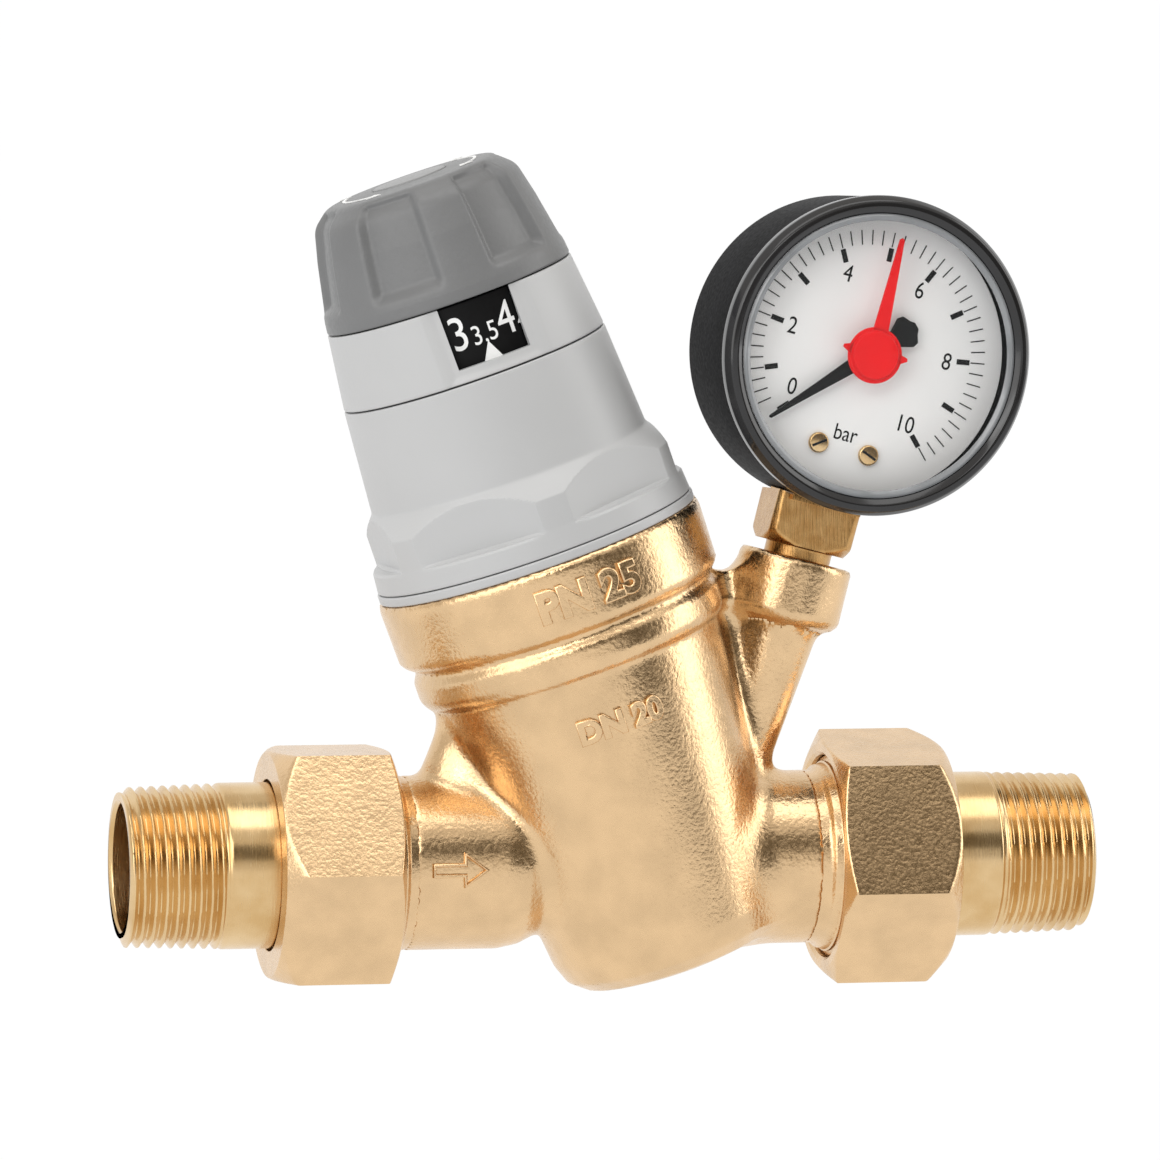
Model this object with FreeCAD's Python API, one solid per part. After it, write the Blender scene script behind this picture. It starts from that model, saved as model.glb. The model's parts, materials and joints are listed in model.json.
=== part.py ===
"""Pressure reducing valve, DN 20, with union tailpieces and a 0-10 bar gauge.

Millimetres. X runs along the pipe in the flow direction and is 0 at the inlet tailpiece's end face,
Z is up. The cup leans towards the inlet, and the gauge port leans towards the outlet.
Each function builds one piece in the frame of its own axis, and save() puts it in place.
"""

import FreeCAD
import Part
import math
import os
from FreeCAD import Placement, Rotation, Vector

# ---------------------------------------------------------------- driving dimensions
LENGTH = 160.0  # face to face of the two tailpieces

CUP_X = 86.6  # where the cup's axis crosses the pipe's axis
CUP_TILT = 19.5  # degrees from vertical, towards the inlet
CUP_RISE = 53.7  # from the pipe's axis up to the cup's rim, along the cup's axis
CUP_DEPTH = 71.5  # rim to the bottom of the cup

PORT_X, PORT_Z = 112.0, 49.0  # centre of the gauge port's mouth
PORT_TILT = 14.65  # degrees from vertical, towards the outlet
DIAL_YAW = 4.5  # the dial faces a little towards the outlet
DIAL_RISE = 34.9  # port mouth to the dial's centre

TAIL_BORE_R = 10.37
TAIL_R = 13.46  # smooth part of the tailpiece
TAIL_FLANGE_R = 14.9
TAIL_FLANGE_X = 26.5
TAIL_END_X = 29.5
THREAD_PITCH = 1.8143  # R 3/4, 14 turns to the inch
THREAD_END_R = 12.924  # crest radius at the end face, growing 1 in 32
THREAD_TAPER = 1.0 / 32.0
THREAD_DEPTH = 0.6
THREAD_START = 0.9  # first crest
THREAD_CRESTS = 9
CREST_HALF = 0.665  # crests are wide bands with narrow grooves between them

GASKET = 2.0
SPIGOT_X = TAIL_END_X + GASKET  # the body's sealing face
SPIGOT_R = 16.55  # G 1 external thread
SPIGOT_ROOT_R = 15.4
SPIGOT_PITCH = 2.309
SPIGOT_TURNS = 5
NECK_R = 14.15
NECK_BORE_R = 9.8

NUT_FLATS = 37.0
NUT_X0, NUT_X1 = 24.2, 43.7
NUT_LIP_R = 13.9
NUT_BORE_R = 16.65
INLET_NUT_TURN, OUTLET_NUT_TURN = 30.0, 18.0  # where each nut came to rest

BONNET_FLATS = 48.0
BONNET_R = 26.4
BONNET_TOP = 31.7
WINDOW_LOW, WINDOW_TOP = 33.9, 44.1
WINDOW_HALF = 6.15  # half the window's width
DRUM_R = 19.4
DRUM_LOW, DRUM_TOP = 33.3, 44.0
KNOB_BOTTOM = 44.3
KNOB_TOP = 63.9
INSERT_R = 6.1
SPINDLE_R = 5.0
RUNNING = 0.06  # radial clearance of a turning fit

STROKE_GAP = 2.5  # plug seal to seat, open
STEM_R = 3.0
SPRING_R = 12.5
SPRING_WIRE_R = 1.7
SPRING_LOW, SPRING_HIGH = -5.0, 22.0
SPRING_TURNS = 4.6

CASE_R = 25.8
CASE_BACK = -9.5
BEZEL_R = 26.0
BEZEL_INNER_R = 21.9
DIAL_R = 23.2
DIAL_Z = 8.6
GEAR_MODULE = 0.3
PINION_TEETH = 8
SECTOR_TEETH = 72  # on a full circle
GEAR_CENTRES = GEAR_MODULE * (PINION_TEETH + SECTOR_TEETH) / 2
POINTER_ZERO = 135.0  # degrees anticlockwise from dial-up
SET_HAND_ANGLE = 2.2

# ---------------------------------------------------------------- frames
X_AXIS, Y_AXIS, Z_AXIS = Vector(1, 0, 0), Vector(0, 1, 0), Vector(0, 0, 1)
ORIGIN = Vector(0, 0, 0)
TILT = math.radians(CUP_TILT)
CUP_RIM = Vector(CUP_X - CUP_RISE * math.sin(TILT), 0, CUP_RISE * math.cos(TILT))
CUP = Placement(CUP_RIM, Rotation(Y_AXIS, -CUP_TILT))
PORT = Placement(Vector(PORT_X, 0, PORT_Z), Rotation(Y_AXIS, PORT_TILT)).multiply(
    Placement(ORIGIN, Rotation(Z_AXIS, DIAL_YAW))
)
# the dial's own frame: x right, y up, z out of the glass
DIAL = PORT.multiply(Placement(Vector(0, 0, DIAL_RISE), Rotation(X_AXIS, 90)))
INLET = Placement(ORIGIN, Rotation(Y_AXIS, 90))
OUTLET = Placement(Vector(LENGTH, 0, 0), Rotation(Y_AXIS, -90))
WORLD = Placement()


# ---------------------------------------------------------------- helpers
def turned(points):
    """A solid of revolution about local Z from (radius, height) corners."""
    corners = [Vector(r, 0, z) for r, z in points]
    face = Part.Face(Part.makePolygon(corners + corners[:1]))
    return face.revolve(ORIGIN, Z_AXIS, 360)


def rod(radius, low, high, x=0.0, y=0.0):
    """A cylinder along local Z."""
    return Part.makeCylinder(radius, high - low, Vector(x, y, low))


def block(low, high):
    """A box between two corners."""
    return Part.makeBox(high[0] - low[0], high[1] - low[1], high[2] - low[2], Vector(*low))


def prism(outline, low, high):
    """A straight prism along local Z on (x, y) corners."""
    corners = [Vector(x, y, low) for x, y in outline]
    face = Part.Face(Part.makePolygon(corners + corners[:1]))
    return face.extrude(Vector(0, 0, high - low))


def hexagon(flats, low, high, turn=0.0):
    """A hexagonal prism across the given flats, with a corner at the angle turn."""
    radius = flats / 2 / math.cos(math.radians(30))
    angles = [math.radians(turn + 60 * k) for k in range(6)]
    return prism([(radius * math.cos(a), radius * math.sin(a)) for a in angles], low, high)


def ring(major, minor, z):
    """A round seal ring."""
    return Part.makeTorus(major, minor, Vector(0, 0, z), Z_AXIS)


def around(shape, count, first=0.0):
    """Copies of a shape turned about local Z."""
    copies = []
    for k in range(count):
        copy = shape.copy()
        copy.rotate(ORIGIN, Z_AXIS, first + 360.0 / count * k)
        copies.append(copy)
    return copies


def save(name, shape, frame):
    """Puts a finished piece in place and writes it."""
    shape = shape.removeSplitter()
    shape.Placement = frame.multiply(shape.Placement)
    assert shape.isValid(), name
    shape.exportStep("parts/" + name + ".step")


# ---------------------------------------------------------------- tailpieces and unions
def tailpiece():
    """Taper-threaded tail with a flange that the union nut pulls on."""
    outline = [(TAIL_BORE_R, 0), (THREAD_END_R - THREAD_DEPTH, 0)]
    for k in range(THREAD_CRESTS):
        x = THREAD_START + THREAD_PITCH * k
        crest = THREAD_END_R + THREAD_TAPER * x
        outline += [(crest, x - CREST_HALF), (crest, x + CREST_HALF)]
        outline += [(crest - THREAD_DEPTH, x + THREAD_PITCH / 2)]
    outline += [(TAIL_R, outline[-1][1] + 0.3), (TAIL_R, TAIL_FLANGE_X)]
    outline += [(TAIL_FLANGE_R, TAIL_FLANGE_X), (TAIL_FLANGE_R, TAIL_END_X), (TAIL_BORE_R, TAIL_END_X)]
    return turned(outline)


def gasket():
    """Flat fibre ring between the tailpiece and the body."""
    return turned([(10.8, TAIL_END_X), (14.6, TAIL_END_X), (14.6, SPIGOT_X), (10.8, SPIGOT_X)])


def union_nut(turn):
    """Hexagon nut with a lip that draws the tailpiece's flange onto the gasket, tightened to a turn."""
    corner = NUT_FLATS / 2 / math.cos(math.radians(30)) + 0.3
    nut = hexagon(NUT_FLATS, NUT_X0, NUT_X1, turn)
    cone = [(0, NUT_X0), (18.0, NUT_X0), (corner, NUT_X0 + 3.2), (corner, NUT_X1 - 1.6)]
    cone += [(18.2, NUT_X1), (0, NUT_X1)]
    nut = nut.common(turned(cone))
    hole = [(0, NUT_X0 - 1), (NUT_LIP_R, NUT_X0 - 1), (NUT_LIP_R, TAIL_FLANGE_X), (15.3, TAIL_FLANGE_X)]
    hole += [(15.3, SPIGOT_X - 0.5), (NUT_BORE_R, SPIGOT_X - 0.5), (NUT_BORE_R, NUT_X1 - 0.5)]
    hole += [(17.15, NUT_X1), (17.15, NUT_X1 + 1), (0, NUT_X1 + 1)]
    return nut.cut(turned(hole))


# ---------------------------------------------------------------- body casting
def spigot_and_neck(reach):
    """Threaded spigot, machined collar and neck, from the sealing face inwards."""
    outline = [(0, SPIGOT_X), (SPIGOT_ROOT_R, SPIGOT_X)]
    for k in range(SPIGOT_TURNS):
        x = SPIGOT_X + 1.3 + SPIGOT_PITCH * k
        outline += [(SPIGOT_ROOT_R, x - 0.8), (SPIGOT_R, x - 0.2), (SPIGOT_R, x + 0.2), (SPIGOT_ROOT_R, x + 0.8)]
    outline += [(16.3, 43.4), (16.3, 45.6), (NECK_R, 47.2), (NECK_R, reach), (0, reach)]
    return turned(outline)


def in_world(shape, frame):
    """The shape moved from its own frame."""
    shape.Placement = frame.multiply(shape.Placement)
    return shape


def cup_outside():
    """The cup's outside, with its two bands, in the cup's frame."""
    return turned(
        [(0, 0), (27.1, 0), (27.4, -1.5), (27.2, -10.7), (25.6, -12), (25.7, -13), (25.9, -15.5)]
        + [(25.5, -18), (24.5, -20), (20.3, -59), (19.0, -65), (16.0, -69), (11.0, -71), (0, -CUP_DEPTH)]
    )


def cup_inside():
    """Bonnet thread, outlet chamber, cartridge land and inlet chamber."""
    return turned(
        [(0, 1), (24.1, 1), (24.1, -8), (18.5, -8), (18.5, -34), (12.5, -34), (12.5, -66), (0, -66)]
    )


def body_casting():
    """One forging: two necks, the sloped cup, the inlet fairing and the gauge port."""
    body = in_world(spigot_and_neck(80.0), INLET)
    fairing_foot, fairing_head = Vector(62, 0, -2), Vector(57.5, 0, 24)
    axis = fairing_head - fairing_foot
    fairing = Part.makeCone(14.0, 4.5, axis.Length, fairing_foot, axis)
    boss = turned([(0, 0), (8.3, 0), (8.8, -0.6), (8.8, -10), (6.4, -13.5), (4.9, -39), (0, -39)])
    web = Part.Face(
        Part.makePolygon(
            [Vector(*p) for p in ((88, -3, 46), (107, -3, 46), (103, -3, 8), (88, -3, 8), (88, -3, 46))]
        )
    ).extrude(Vector(0, 6, 0))
    lumps = [in_world(spigot_and_neck(62.0), OUTLET), fairing, in_world(boss, PORT), web]
    lumps.append(in_world(cup_outside(), CUP))
    body = body.multiFuse(lumps)

    channel = rod(4.0, -60, -30, 17.3, 0)
    channels = Part.makeCompound(around(channel, 1) + around(channel, 1, 28) + around(channel, 1, -28))
    hollows = [in_world(cup_inside(), CUP), in_world(channels, CUP)]
    hollows.append(in_world(rod(NECK_BORE_R, SPIGOT_X - 1, 80), INLET))
    hollows.append(in_world(rod(NECK_BORE_R, SPIGOT_X - 1, LENGTH - 106), OUTLET))
    hollows.append(in_world(rod(6.6, -11, 1), PORT))
    hollows.append(in_world(rod(1.5, -42, -10), PORT))
    for hollow in hollows:
        body = body.cut(hollow)
    return body


# ---------------------------------------------------------------- cartridge
def cartridge_sleeve():
    """Holds the seat and guides the stem; the outlet chamber opens through its windows."""
    sleeve = turned(
        [(9.55, -41), (12.4, -41), (12.4, -38), (10.7, -38), (10.7, -36), (12.4, -36), (12.4, -34.5)]
        + [(12.0, -34.5), (12.0, -16), (18.3, -16), (18.3, -13), (STEM_R + RUNNING, -13)]
        + [(STEM_R + RUNNING, -13.8), (4.75, -13.8), (4.75, -15.4), (STEM_R + RUNNING, -15.4)]
        + [(STEM_R + RUNNING, -18), (6.0, -18), (6.0, -16), (9.55, -16)]
    )
    window = Part.makeCylinder(4.0, 10, Vector(6, 0, -26), X_AXIS)
    port = rod(1.8, -17, -12, 10.0, 0)
    for hole in around(window, 6) + around(port, 4, 45) + around(rod(1.2, -17, -12, 15.0), 6):
        sleeve = sleeve.cut(hole)
    return sleeve


def seat_ring():
    """Stainless seat pressed up into the sleeve, with a raised lip towards the plug."""
    return turned([(7, -41), (8.2, -41), (8.2, -40.4), (9.5, -40.4), (9.5, -37.5), (7, -37.5)])


def strainer_frame():
    """Plastic basket under the seat, open at its ribs."""
    frame = turned(
        [(10.0, -44), (11.8, -44), (11.8, -62), (0, -62), (0, -60.5), (9.4, -60.5), (9.4, -60), (10.4, -60)]
        + [(10.4, -59), (10.0, -59)]
    ).cut(turned([(9.9, -58), (12, -58), (12, -46.5), (9.9, -46.5)]))
    rib = block((10.9, -0.9, -58), (11.8, 0.9, -46.5))
    return frame.multiFuse(around(rib, 6) + [turned([(11.0, -44), (12.3, -44), (12.3, -41.1), (11.0, -41.1)])])


def strainer_mesh():
    """Woven steel tube inside the basket's ribs."""
    return turned([(10.45, -58), (10.8, -58), (10.8, -46.5), (10.45, -46.5)])


def valve_stem():
    """Pulls the plug up to the seat as the diaphragm rises."""
    return turned([(0, -52), (2.4, -52), (2.4, -47), (STEM_R, -47), (STEM_R, 0.8), (0, 0.8)])


def valve_plug():
    """Brass disc with a groove for its seal."""
    return turned(
        [(2.45, -48), (8.6, -48), (8.6, -43.6), (8.3, -43.6), (8.3, -45.4), (6.4, -45.4)]
        + [(6.4, -44.2), (3.05, -44.2), (3.05, -47), (2.45, -47)]
    )


def plug_seal():
    """Rubber ring in the plug's face."""
    return turned([(6.45, -45.35), (8.25, -45.35), (8.25, -41 - STROKE_GAP), (6.45, -41 - STROKE_GAP)])


def plug_nut():
    """Thin nut under the plug."""
    return hexagon(8.0, -51.5, -48.05).cut(rod(2.45, -52, -47))


def plate(outer, low, high):
    """A diaphragm plate with the stem's hole."""
    return turned([(STEM_R + 0.02, low), (outer, low), (outer, high), (STEM_R + 0.02, high)])


def diaphragm():
    """Rubber disc with a rolled convolution outside the plates."""
    return turned(
        [(STEM_R + 0.03, -8), (15.2, -8), (16.2, -7.2), (17.4, -7.2), (18.4, -8), (23.6, -8)]
        + [(23.6, -6.8), (18.4, -6.8), (17.4, -6.1), (16.2, -6.1), (15.2, -6.8), (STEM_R + 0.03, -6.8)]
    )


def slip_ring():
    """Lets the bonnet turn on the diaphragm's edge without dragging it."""
    return turned([(19.2, -6.75), (23.6, -6.75), (23.6, -6.05), (19.2, -6.05)])


# ---------------------------------------------------------------- bonnet, knob and spring
def main_spring():
    """Coil spring from the upper plate to the adjusting nut."""
    rise = SPRING_HIGH - SPRING_LOW - 2 * SPRING_WIRE_R - 0.1
    path = Part.makeHelix(rise / SPRING_TURNS, rise, SPRING_R)
    section = Part.Wire(Part.makeCircle(SPRING_WIRE_R, Vector(SPRING_R, 0, 0), Y_AXIS))
    spring = Part.Wire(path).makePipeShell([section], True, True)
    spring.translate(Vector(0, 0, SPRING_LOW + SPRING_WIRE_R + 0.05))
    return spring


def adjusting_nut():
    """Upper spring plate: lifted by the spindle's thread, kept from turning by two lugs."""
    nut = rod(17.6, 22, 27).fuse(block((-19.3, -2.8, 22), (19.3, 2.8, 27)))
    return nut.cut(rod(SPINDLE_R + RUNNING, 21, 28))


def adjusting_spindle():
    """Turned by the knob; its collar takes the spring's push against the window ring's floor."""
    spindle = turned(
        [(0, 14), (4.4, 14), (SPINDLE_R, 14.6), (SPINDLE_R, 30.3), (9, 30.3), (9, 31.6)]
        + [(SPINDLE_R, 31.6), (SPINDLE_R, 46), (4, 46), (4, 57), (0, 57)]
    )
    return spindle.cut(rod(2.6, 47.5, 58))


def cartridge_flange_ring():
    """The cartridge's flange, seen as a light band between the brass and the bonnet."""
    return turned([(24.05, 0), (26.9, 0), (26.9, 1.7), (24.05, 1.7)])


def bonnet():
    """Screwed cover: a spigot into the body, a hexagon for the wrench and a tapered barrel."""
    collar = turned([(0, 1.8), (26.8, 1.8), (26.5, 5.2), (0, 5.2)])
    hexagonal = rod(BONNET_R, 5, 11.6).common(hexagon(BONNET_FLATS, 5, 11.6, 90))
    barrel = turned([(0, 11.5), (24, 11.5), (24, 12.4), (23.4, 14.2), (22.2, BONNET_TOP), (0, BONNET_TOP)])
    cover = rod(23.9, -6, 1.8).multiFuse([collar, hexagonal, barrel])
    cover = cover.cut(turned([(0, -7), (19.5, -7), (19.5, 4), (18, 5.5), (18, 32), (0, 32)]))
    return cover.cut(block((-19.6, -3, 3), (19.6, 3, 32)))


def window_ring():
    """Upper housing with the window that shows the scale."""
    housing = turned([(0, BONNET_TOP), (22.2, BONNET_TOP), (20.7, WINDOW_TOP), (0, WINDOW_TOP)])
    housing = housing.cut(rod(19.9, 33, 46)).cut(rod(SPINDLE_R + RUNNING, 31, 34))
    return housing.cut(block((-WINDOW_HALF, -24, WINDOW_LOW), (WINDOW_HALF, -15, 46)))


def scale_drum():
    """Black drum with the scale, fixed to the spindle under the knob."""
    bore = SPINDLE_R + 0.02
    return turned(
        [(18.0, DRUM_LOW), (DRUM_R, DRUM_LOW), (DRUM_R, DRUM_TOP), (bore, DRUM_TOP)]
        + [(bore, DRUM_TOP - 1.4), (18.0, DRUM_TOP - 1.4)]
    )


def knob():
    """Tapered cap with six finger recesses."""
    outside = [(0, KNOB_BOTTOM), (20.7, KNOB_BOTTOM), (18.9, 55), (17.8, 58.6)]
    for k in range(1, 7):
        turn = math.radians(15 * k)
        outside.append((12.8 + 5.0 * math.cos(turn), 58.6 + 5.0 * math.sin(turn)))
    outside += [(6, KNOB_TOP), (0, KNOB_TOP)]
    cap = turned(outside)
    cap = cap.cut(turned([(5.6, 44), (18.6, 44), (18.6, KNOB_BOTTOM), (16.4, 56), (14.5, 60), (5.6, 60)]))
    floor = KNOB_TOP - 0.9
    cap = cap.cut(rod(4.02, 44, 57.05)).cut(rod(5.2, 57.05, floor)).cut(rod(INSERT_R + 0.1, floor, 65))
    cap = cap.cut(rod(5.65, 44, 46.2))
    recess = block((-5.5, -23, 49), (5.5, -18.4, 59.5))
    for cut in around(recess, 6, -28.5):
        cap = cap.cut(cut)
    return cap


def knob_insert():
    """Cover disc in the knob's top."""
    return rod(INSERT_R, KNOB_TOP - 0.85, KNOB_TOP + 0.2)


def knob_screw():
    """Pan-head screw down into the spindle."""
    screw = rod(2.5, 48.5, 57.1).fuse(turned([(0, 57.1), (4.8, 57.1), (4.8, 59), (3.6, 60.2), (0, 60.2)]))
    return screw.cut(hexagon(2.6, 58.4, 61))


# ---------------------------------------------------------------- gauge
def gauge_stem():
    """Threaded spigot, square for the wrench and the socket inside the case, in the port's frame."""
    thread = turned([(0, -9.5), (5.9, -9.5), (6.5, -8.9), (6.5, -1.2), (5.5, -0.6), (5.5, 2.4), (0, 2.4)])
    square = block((-7, -7, 1.8), (7, 7, 9.0))
    socket = block((-6, -8.5, 9.0), (6, 4, DIAL_RISE - 13.0))
    stem = thread.multiFuse([square, socket]).cut(rod(1.2, -10, 18))
    for x in (-4.4, 4.4):
        stem = stem.cut(Part.makeCylinder(1.0, 5, Vector(x, -8.6, DIAL_RISE - 15.9), Y_AXIS))
    return stem


def gauge_case():
    """Black cup with a hole in its wall for the socket."""
    case = turned(
        [(0, CASE_BACK), (24.4, CASE_BACK), (25.2, CASE_BACK + 1), (CASE_R, 12.4), (24.3, 12.4), (24.0, 8.0)]
        + [(23.6, CASE_BACK + 2), (0, CASE_BACK + 2)]
    )
    return case.cut(block((-6.1, -28, -4.1), (6.1, -20, 8.7)))


def bezel_ring():
    """Gloss ring that holds the window down."""
    return turned(
        [(24.4, 12.5), (BEZEL_R, 12.5), (BEZEL_R, 15.2), (25.4, 16), (BEZEL_INNER_R, 16)]
        + [(BEZEL_INNER_R, 14.9), (24.4, 14.9)]
    )


def gauge_window():
    """Clear disc in front of the hands."""
    return rod(24.3, 13.6, 14.8)


def gauge_dial():
    """White sheet with holes for the shaft and its screws."""
    dial = rod(DIAL_R, DIAL_Z, DIAL_Z + 0.4)
    for x, y, r in ((0, 0, 1.6), (-4.4, -15.9, 1.0), (4.4, -15.9, 1.0)):
        dial = dial.cut(rod(r, DIAL_Z - 1, DIAL_Z + 1, x, y))
    return dial


def dial_screws():
    """Two cheese-head screws into the socket."""
    screws = []
    for x in (-4.4, 4.4):
        screw = rod(0.95, 5.0, DIAL_Z + 0.4, x, -15.9).fuse(rod(1.7, DIAL_Z + 0.4, DIAL_Z + 1.2, x, -15.9))
        slot = block((x - 2, -16.15, DIAL_Z + 0.8), (x + 2, -15.65, DIAL_Z + 2))
        screws.append(screw.cut(slot))
    return Part.makeCompound(screws)


def bourdon_tube():
    """C-shaped tube from the socket round to the link."""
    tube = Part.makeTorus(18.4, 2.1, ORIGIN, Z_AXIS, -180, 180, 226)
    tube.rotate(ORIGIN, Z_AXIS, 22)
    tube.translate(Vector(0, 0, 2.4))
    return tube


def tube_link():
    """Strip from the tube's tip down to the sector's tail."""
    strip = block((14.0, 0.6, 4.6), (15.6, 7.6, 5.2))
    strip.rotate(Vector(14.8, 1.2, 0), Z_AXIS, -12)
    return strip


def movement_frame():
    """Two plates on posts that carry the gears."""
    outline = [(-6, -12.9), (6, -12.9), (14.5, -4), (14.5, 2.2), (-3.5, 2.2)]
    plates = [prism(outline, -2.0, -1.2), prism(outline, 6.4, 7.2)]
    posts = [rod(1.0, -1.3, 6.5, x, y) for x, y in ((-2.6, -10.5), (4.6, -11.0))]
    frame = plates[0].multiFuse(plates[1:] + posts)
    for x in (0.0, GEAR_CENTRES):
        frame = frame.cut(rod(0.85, -3, 8, x, 0))
    return frame


def toothed(teeth, first, count, turn):
    """Gear outline: straight-sided teeth with backlash, from tooth first for count teeth."""
    pitch_r = GEAR_MODULE * teeth / 2
    step = 360.0 / teeth
    points = []
    for k in range(first, first + count):
        for offset, radius in ((-0.24, -1.2), (-0.12, 0.75), (0.12, 0.75), (0.24, -1.2)):
            angle = math.radians(turn + step * (k + offset))
            r = pitch_r + radius * GEAR_MODULE
            points.append((r * math.cos(angle), r * math.sin(angle)))
    return points


def pinion():
    """Small gear on the pointer's shaft."""
    gear = prism(toothed(PINION_TEETH, 0, PINION_TEETH, 180.0 / PINION_TEETH), 2.2, 5.0)
    return gear.fuse(rod(0.8, -2.0, 11.6))


def sector_gear():
    """Quarter gear that the tube pulls round."""
    teeth = toothed(SECTOR_TEETH, -8, 17, 180)
    gear = prism([(0.8, -1.6)] + teeth[::-1] + [(0.8, 1.6)], 3.0, 4.2)
    gear = gear.fuse(block((0, -1.2, 3.0), (3.4, 1.2, 4.2))).fuse(rod(0.8, -2.0, 7.2))
    gear.translate(Vector(GEAR_CENTRES, 0, 0))
    return gear


def hand(outline, hub_r, low, high, turn):
    """A flat hand that points up the dial, turned to its place."""
    shape = prism(outline, low, high).fuse(rod(hub_r, low, high))
    shape.rotate(ORIGIN, Z_AXIS, turn)
    return shape


def pointer():
    """Black hand with a spade-shaped tail."""
    half = [(0.35, 19.5), (1.0, 2), (0.8, -3.0), (2.2, -5.2), (1.5, -7.4)]
    outline = half + [(-x, y) for x, y in reversed(half)]
    return hand(outline, 2.2, 10.2, 10.7, POINTER_ZERO).cut(rod(0.82, 10, 11))


def set_hand():
    """Red hand on a round hub, left where the user wants it."""
    half = [(0.25, 20.0), (1.25, 7.5), (1.0, 3)]
    outline = half + [(-x, y) for x, y in reversed(half)]
    return hand(outline, 4.4, 12.0, 12.7, SET_HAND_ANGLE)


# ---------------------------------------------------------------- all pieces
PIECES = (
    ("body_casting", body_casting, WORLD),
    ("inlet_tailpiece", tailpiece, INLET),
    ("inlet_gasket", gasket, INLET),
    ("inlet_union_nut", lambda: union_nut(INLET_NUT_TURN), INLET),
    ("outlet_tailpiece", tailpiece, OUTLET),
    ("outlet_gasket", gasket, OUTLET),
    ("outlet_union_nut", lambda: union_nut(OUTLET_NUT_TURN), OUTLET),
    ("seat_ring", seat_ring, CUP),
    ("cartridge_sleeve", cartridge_sleeve, CUP),
    ("cartridge_o_ring", lambda: ring(11.58, 0.85, -37), CUP),
    ("stem_o_ring", lambda: ring(3.88, 0.78, -14.6), CUP),
    ("strainer_frame", strainer_frame, CUP),
    ("strainer_mesh", strainer_mesh, CUP),
    ("valve_stem", valve_stem, CUP),
    ("valve_plug", valve_plug, CUP),
    ("plug_seal", plug_seal, CUP),
    ("plug_nut", plug_nut, CUP),
    ("lower_diaphragm_plate", lambda: plate(14.0, -9.5, -8.05), CUP),
    ("diaphragm", diaphragm, CUP),
    ("upper_diaphragm_plate", lambda: plate(15.0, -6.75, SPRING_LOW), CUP),
    ("diaphragm_nut", lambda: hexagon(10.0, -4.95, -1.5).cut(rod(STEM_R + 0.02, -6, 0)), CUP),
    ("slip_ring", slip_ring, CUP),
    ("main_spring", main_spring, CUP),
    ("adjusting_nut", adjusting_nut, CUP),
    ("adjusting_spindle", adjusting_spindle, CUP),
    ("cartridge_flange_ring", cartridge_flange_ring, CUP),
    ("bonnet", bonnet, CUP),
    ("window_ring", window_ring, CUP),
    ("scale_drum", scale_drum, CUP),
    ("knob", knob, CUP),
    ("knob_insert", knob_insert, CUP),
    ("knob_screw", knob_screw, CUP),
    ("gauge_stem", gauge_stem, PORT),
    ("gauge_case", gauge_case, DIAL),
    ("bezel_ring", bezel_ring, DIAL),
    ("gauge_window", gauge_window, DIAL),
    ("gauge_dial", gauge_dial, DIAL),
    ("dial_screws", dial_screws, DIAL),
    ("bourdon_tube", bourdon_tube, DIAL),
    ("tube_link", tube_link, DIAL),
    ("movement_frame", movement_frame, DIAL),
    ("sector_gear", sector_gear, DIAL),
    ("pinion", pinion, DIAL),
    ("pointer", pointer, DIAL),
    ("set_hand", set_hand, DIAL),
)

os.makedirs("parts", exist_ok=True)
for piece_name, build, piece_frame in PIECES:
    piece = build()
    save(piece_name, piece, piece_frame)
    print("%-24s solids %d  volume %9.1f" % (piece_name, len(piece.Solids), piece.Volume))
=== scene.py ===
"""Pressure reducing valve: the finished look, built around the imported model.

The maker's sizes are in millimetres, and place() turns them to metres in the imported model's frame.
"""

import json
import math

import bpy
import numpy as np
from bpy.props import FloatProperty, FloatVectorProperty, PointerProperty
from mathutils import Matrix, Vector


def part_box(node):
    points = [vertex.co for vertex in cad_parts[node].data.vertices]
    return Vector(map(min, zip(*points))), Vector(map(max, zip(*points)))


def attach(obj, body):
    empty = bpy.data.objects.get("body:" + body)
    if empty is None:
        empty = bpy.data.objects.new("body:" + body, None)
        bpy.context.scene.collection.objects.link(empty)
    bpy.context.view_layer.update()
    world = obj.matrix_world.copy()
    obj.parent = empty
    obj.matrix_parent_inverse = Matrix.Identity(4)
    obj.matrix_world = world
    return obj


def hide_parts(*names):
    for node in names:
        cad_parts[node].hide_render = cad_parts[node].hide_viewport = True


bl_info = {
    "name": "Pressure Reducing Valve",
    "version": (1, 0, 0),
    "blender": (4, 5, 0),
    "location": "View3D > Sidebar > Valve",
    "description": "Builds a brass pressure reducing valve with a gauge around its packed model",
    "category": "Add Mesh",
}

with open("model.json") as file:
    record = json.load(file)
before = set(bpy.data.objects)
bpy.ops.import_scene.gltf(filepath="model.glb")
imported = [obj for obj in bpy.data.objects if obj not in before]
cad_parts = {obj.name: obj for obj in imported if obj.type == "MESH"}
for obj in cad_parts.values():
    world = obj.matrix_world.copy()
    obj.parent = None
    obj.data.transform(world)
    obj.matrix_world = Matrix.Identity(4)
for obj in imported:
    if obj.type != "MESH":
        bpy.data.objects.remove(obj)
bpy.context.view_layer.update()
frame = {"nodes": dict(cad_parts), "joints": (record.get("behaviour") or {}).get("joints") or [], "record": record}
MM = 0.001
STEPS = 192  # round pieces, faces in a turn


# ---------------------------------------------------------------- axes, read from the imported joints
def joint(name):
    return next(j for j in frame["joints"] if j["name"] == name)


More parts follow.
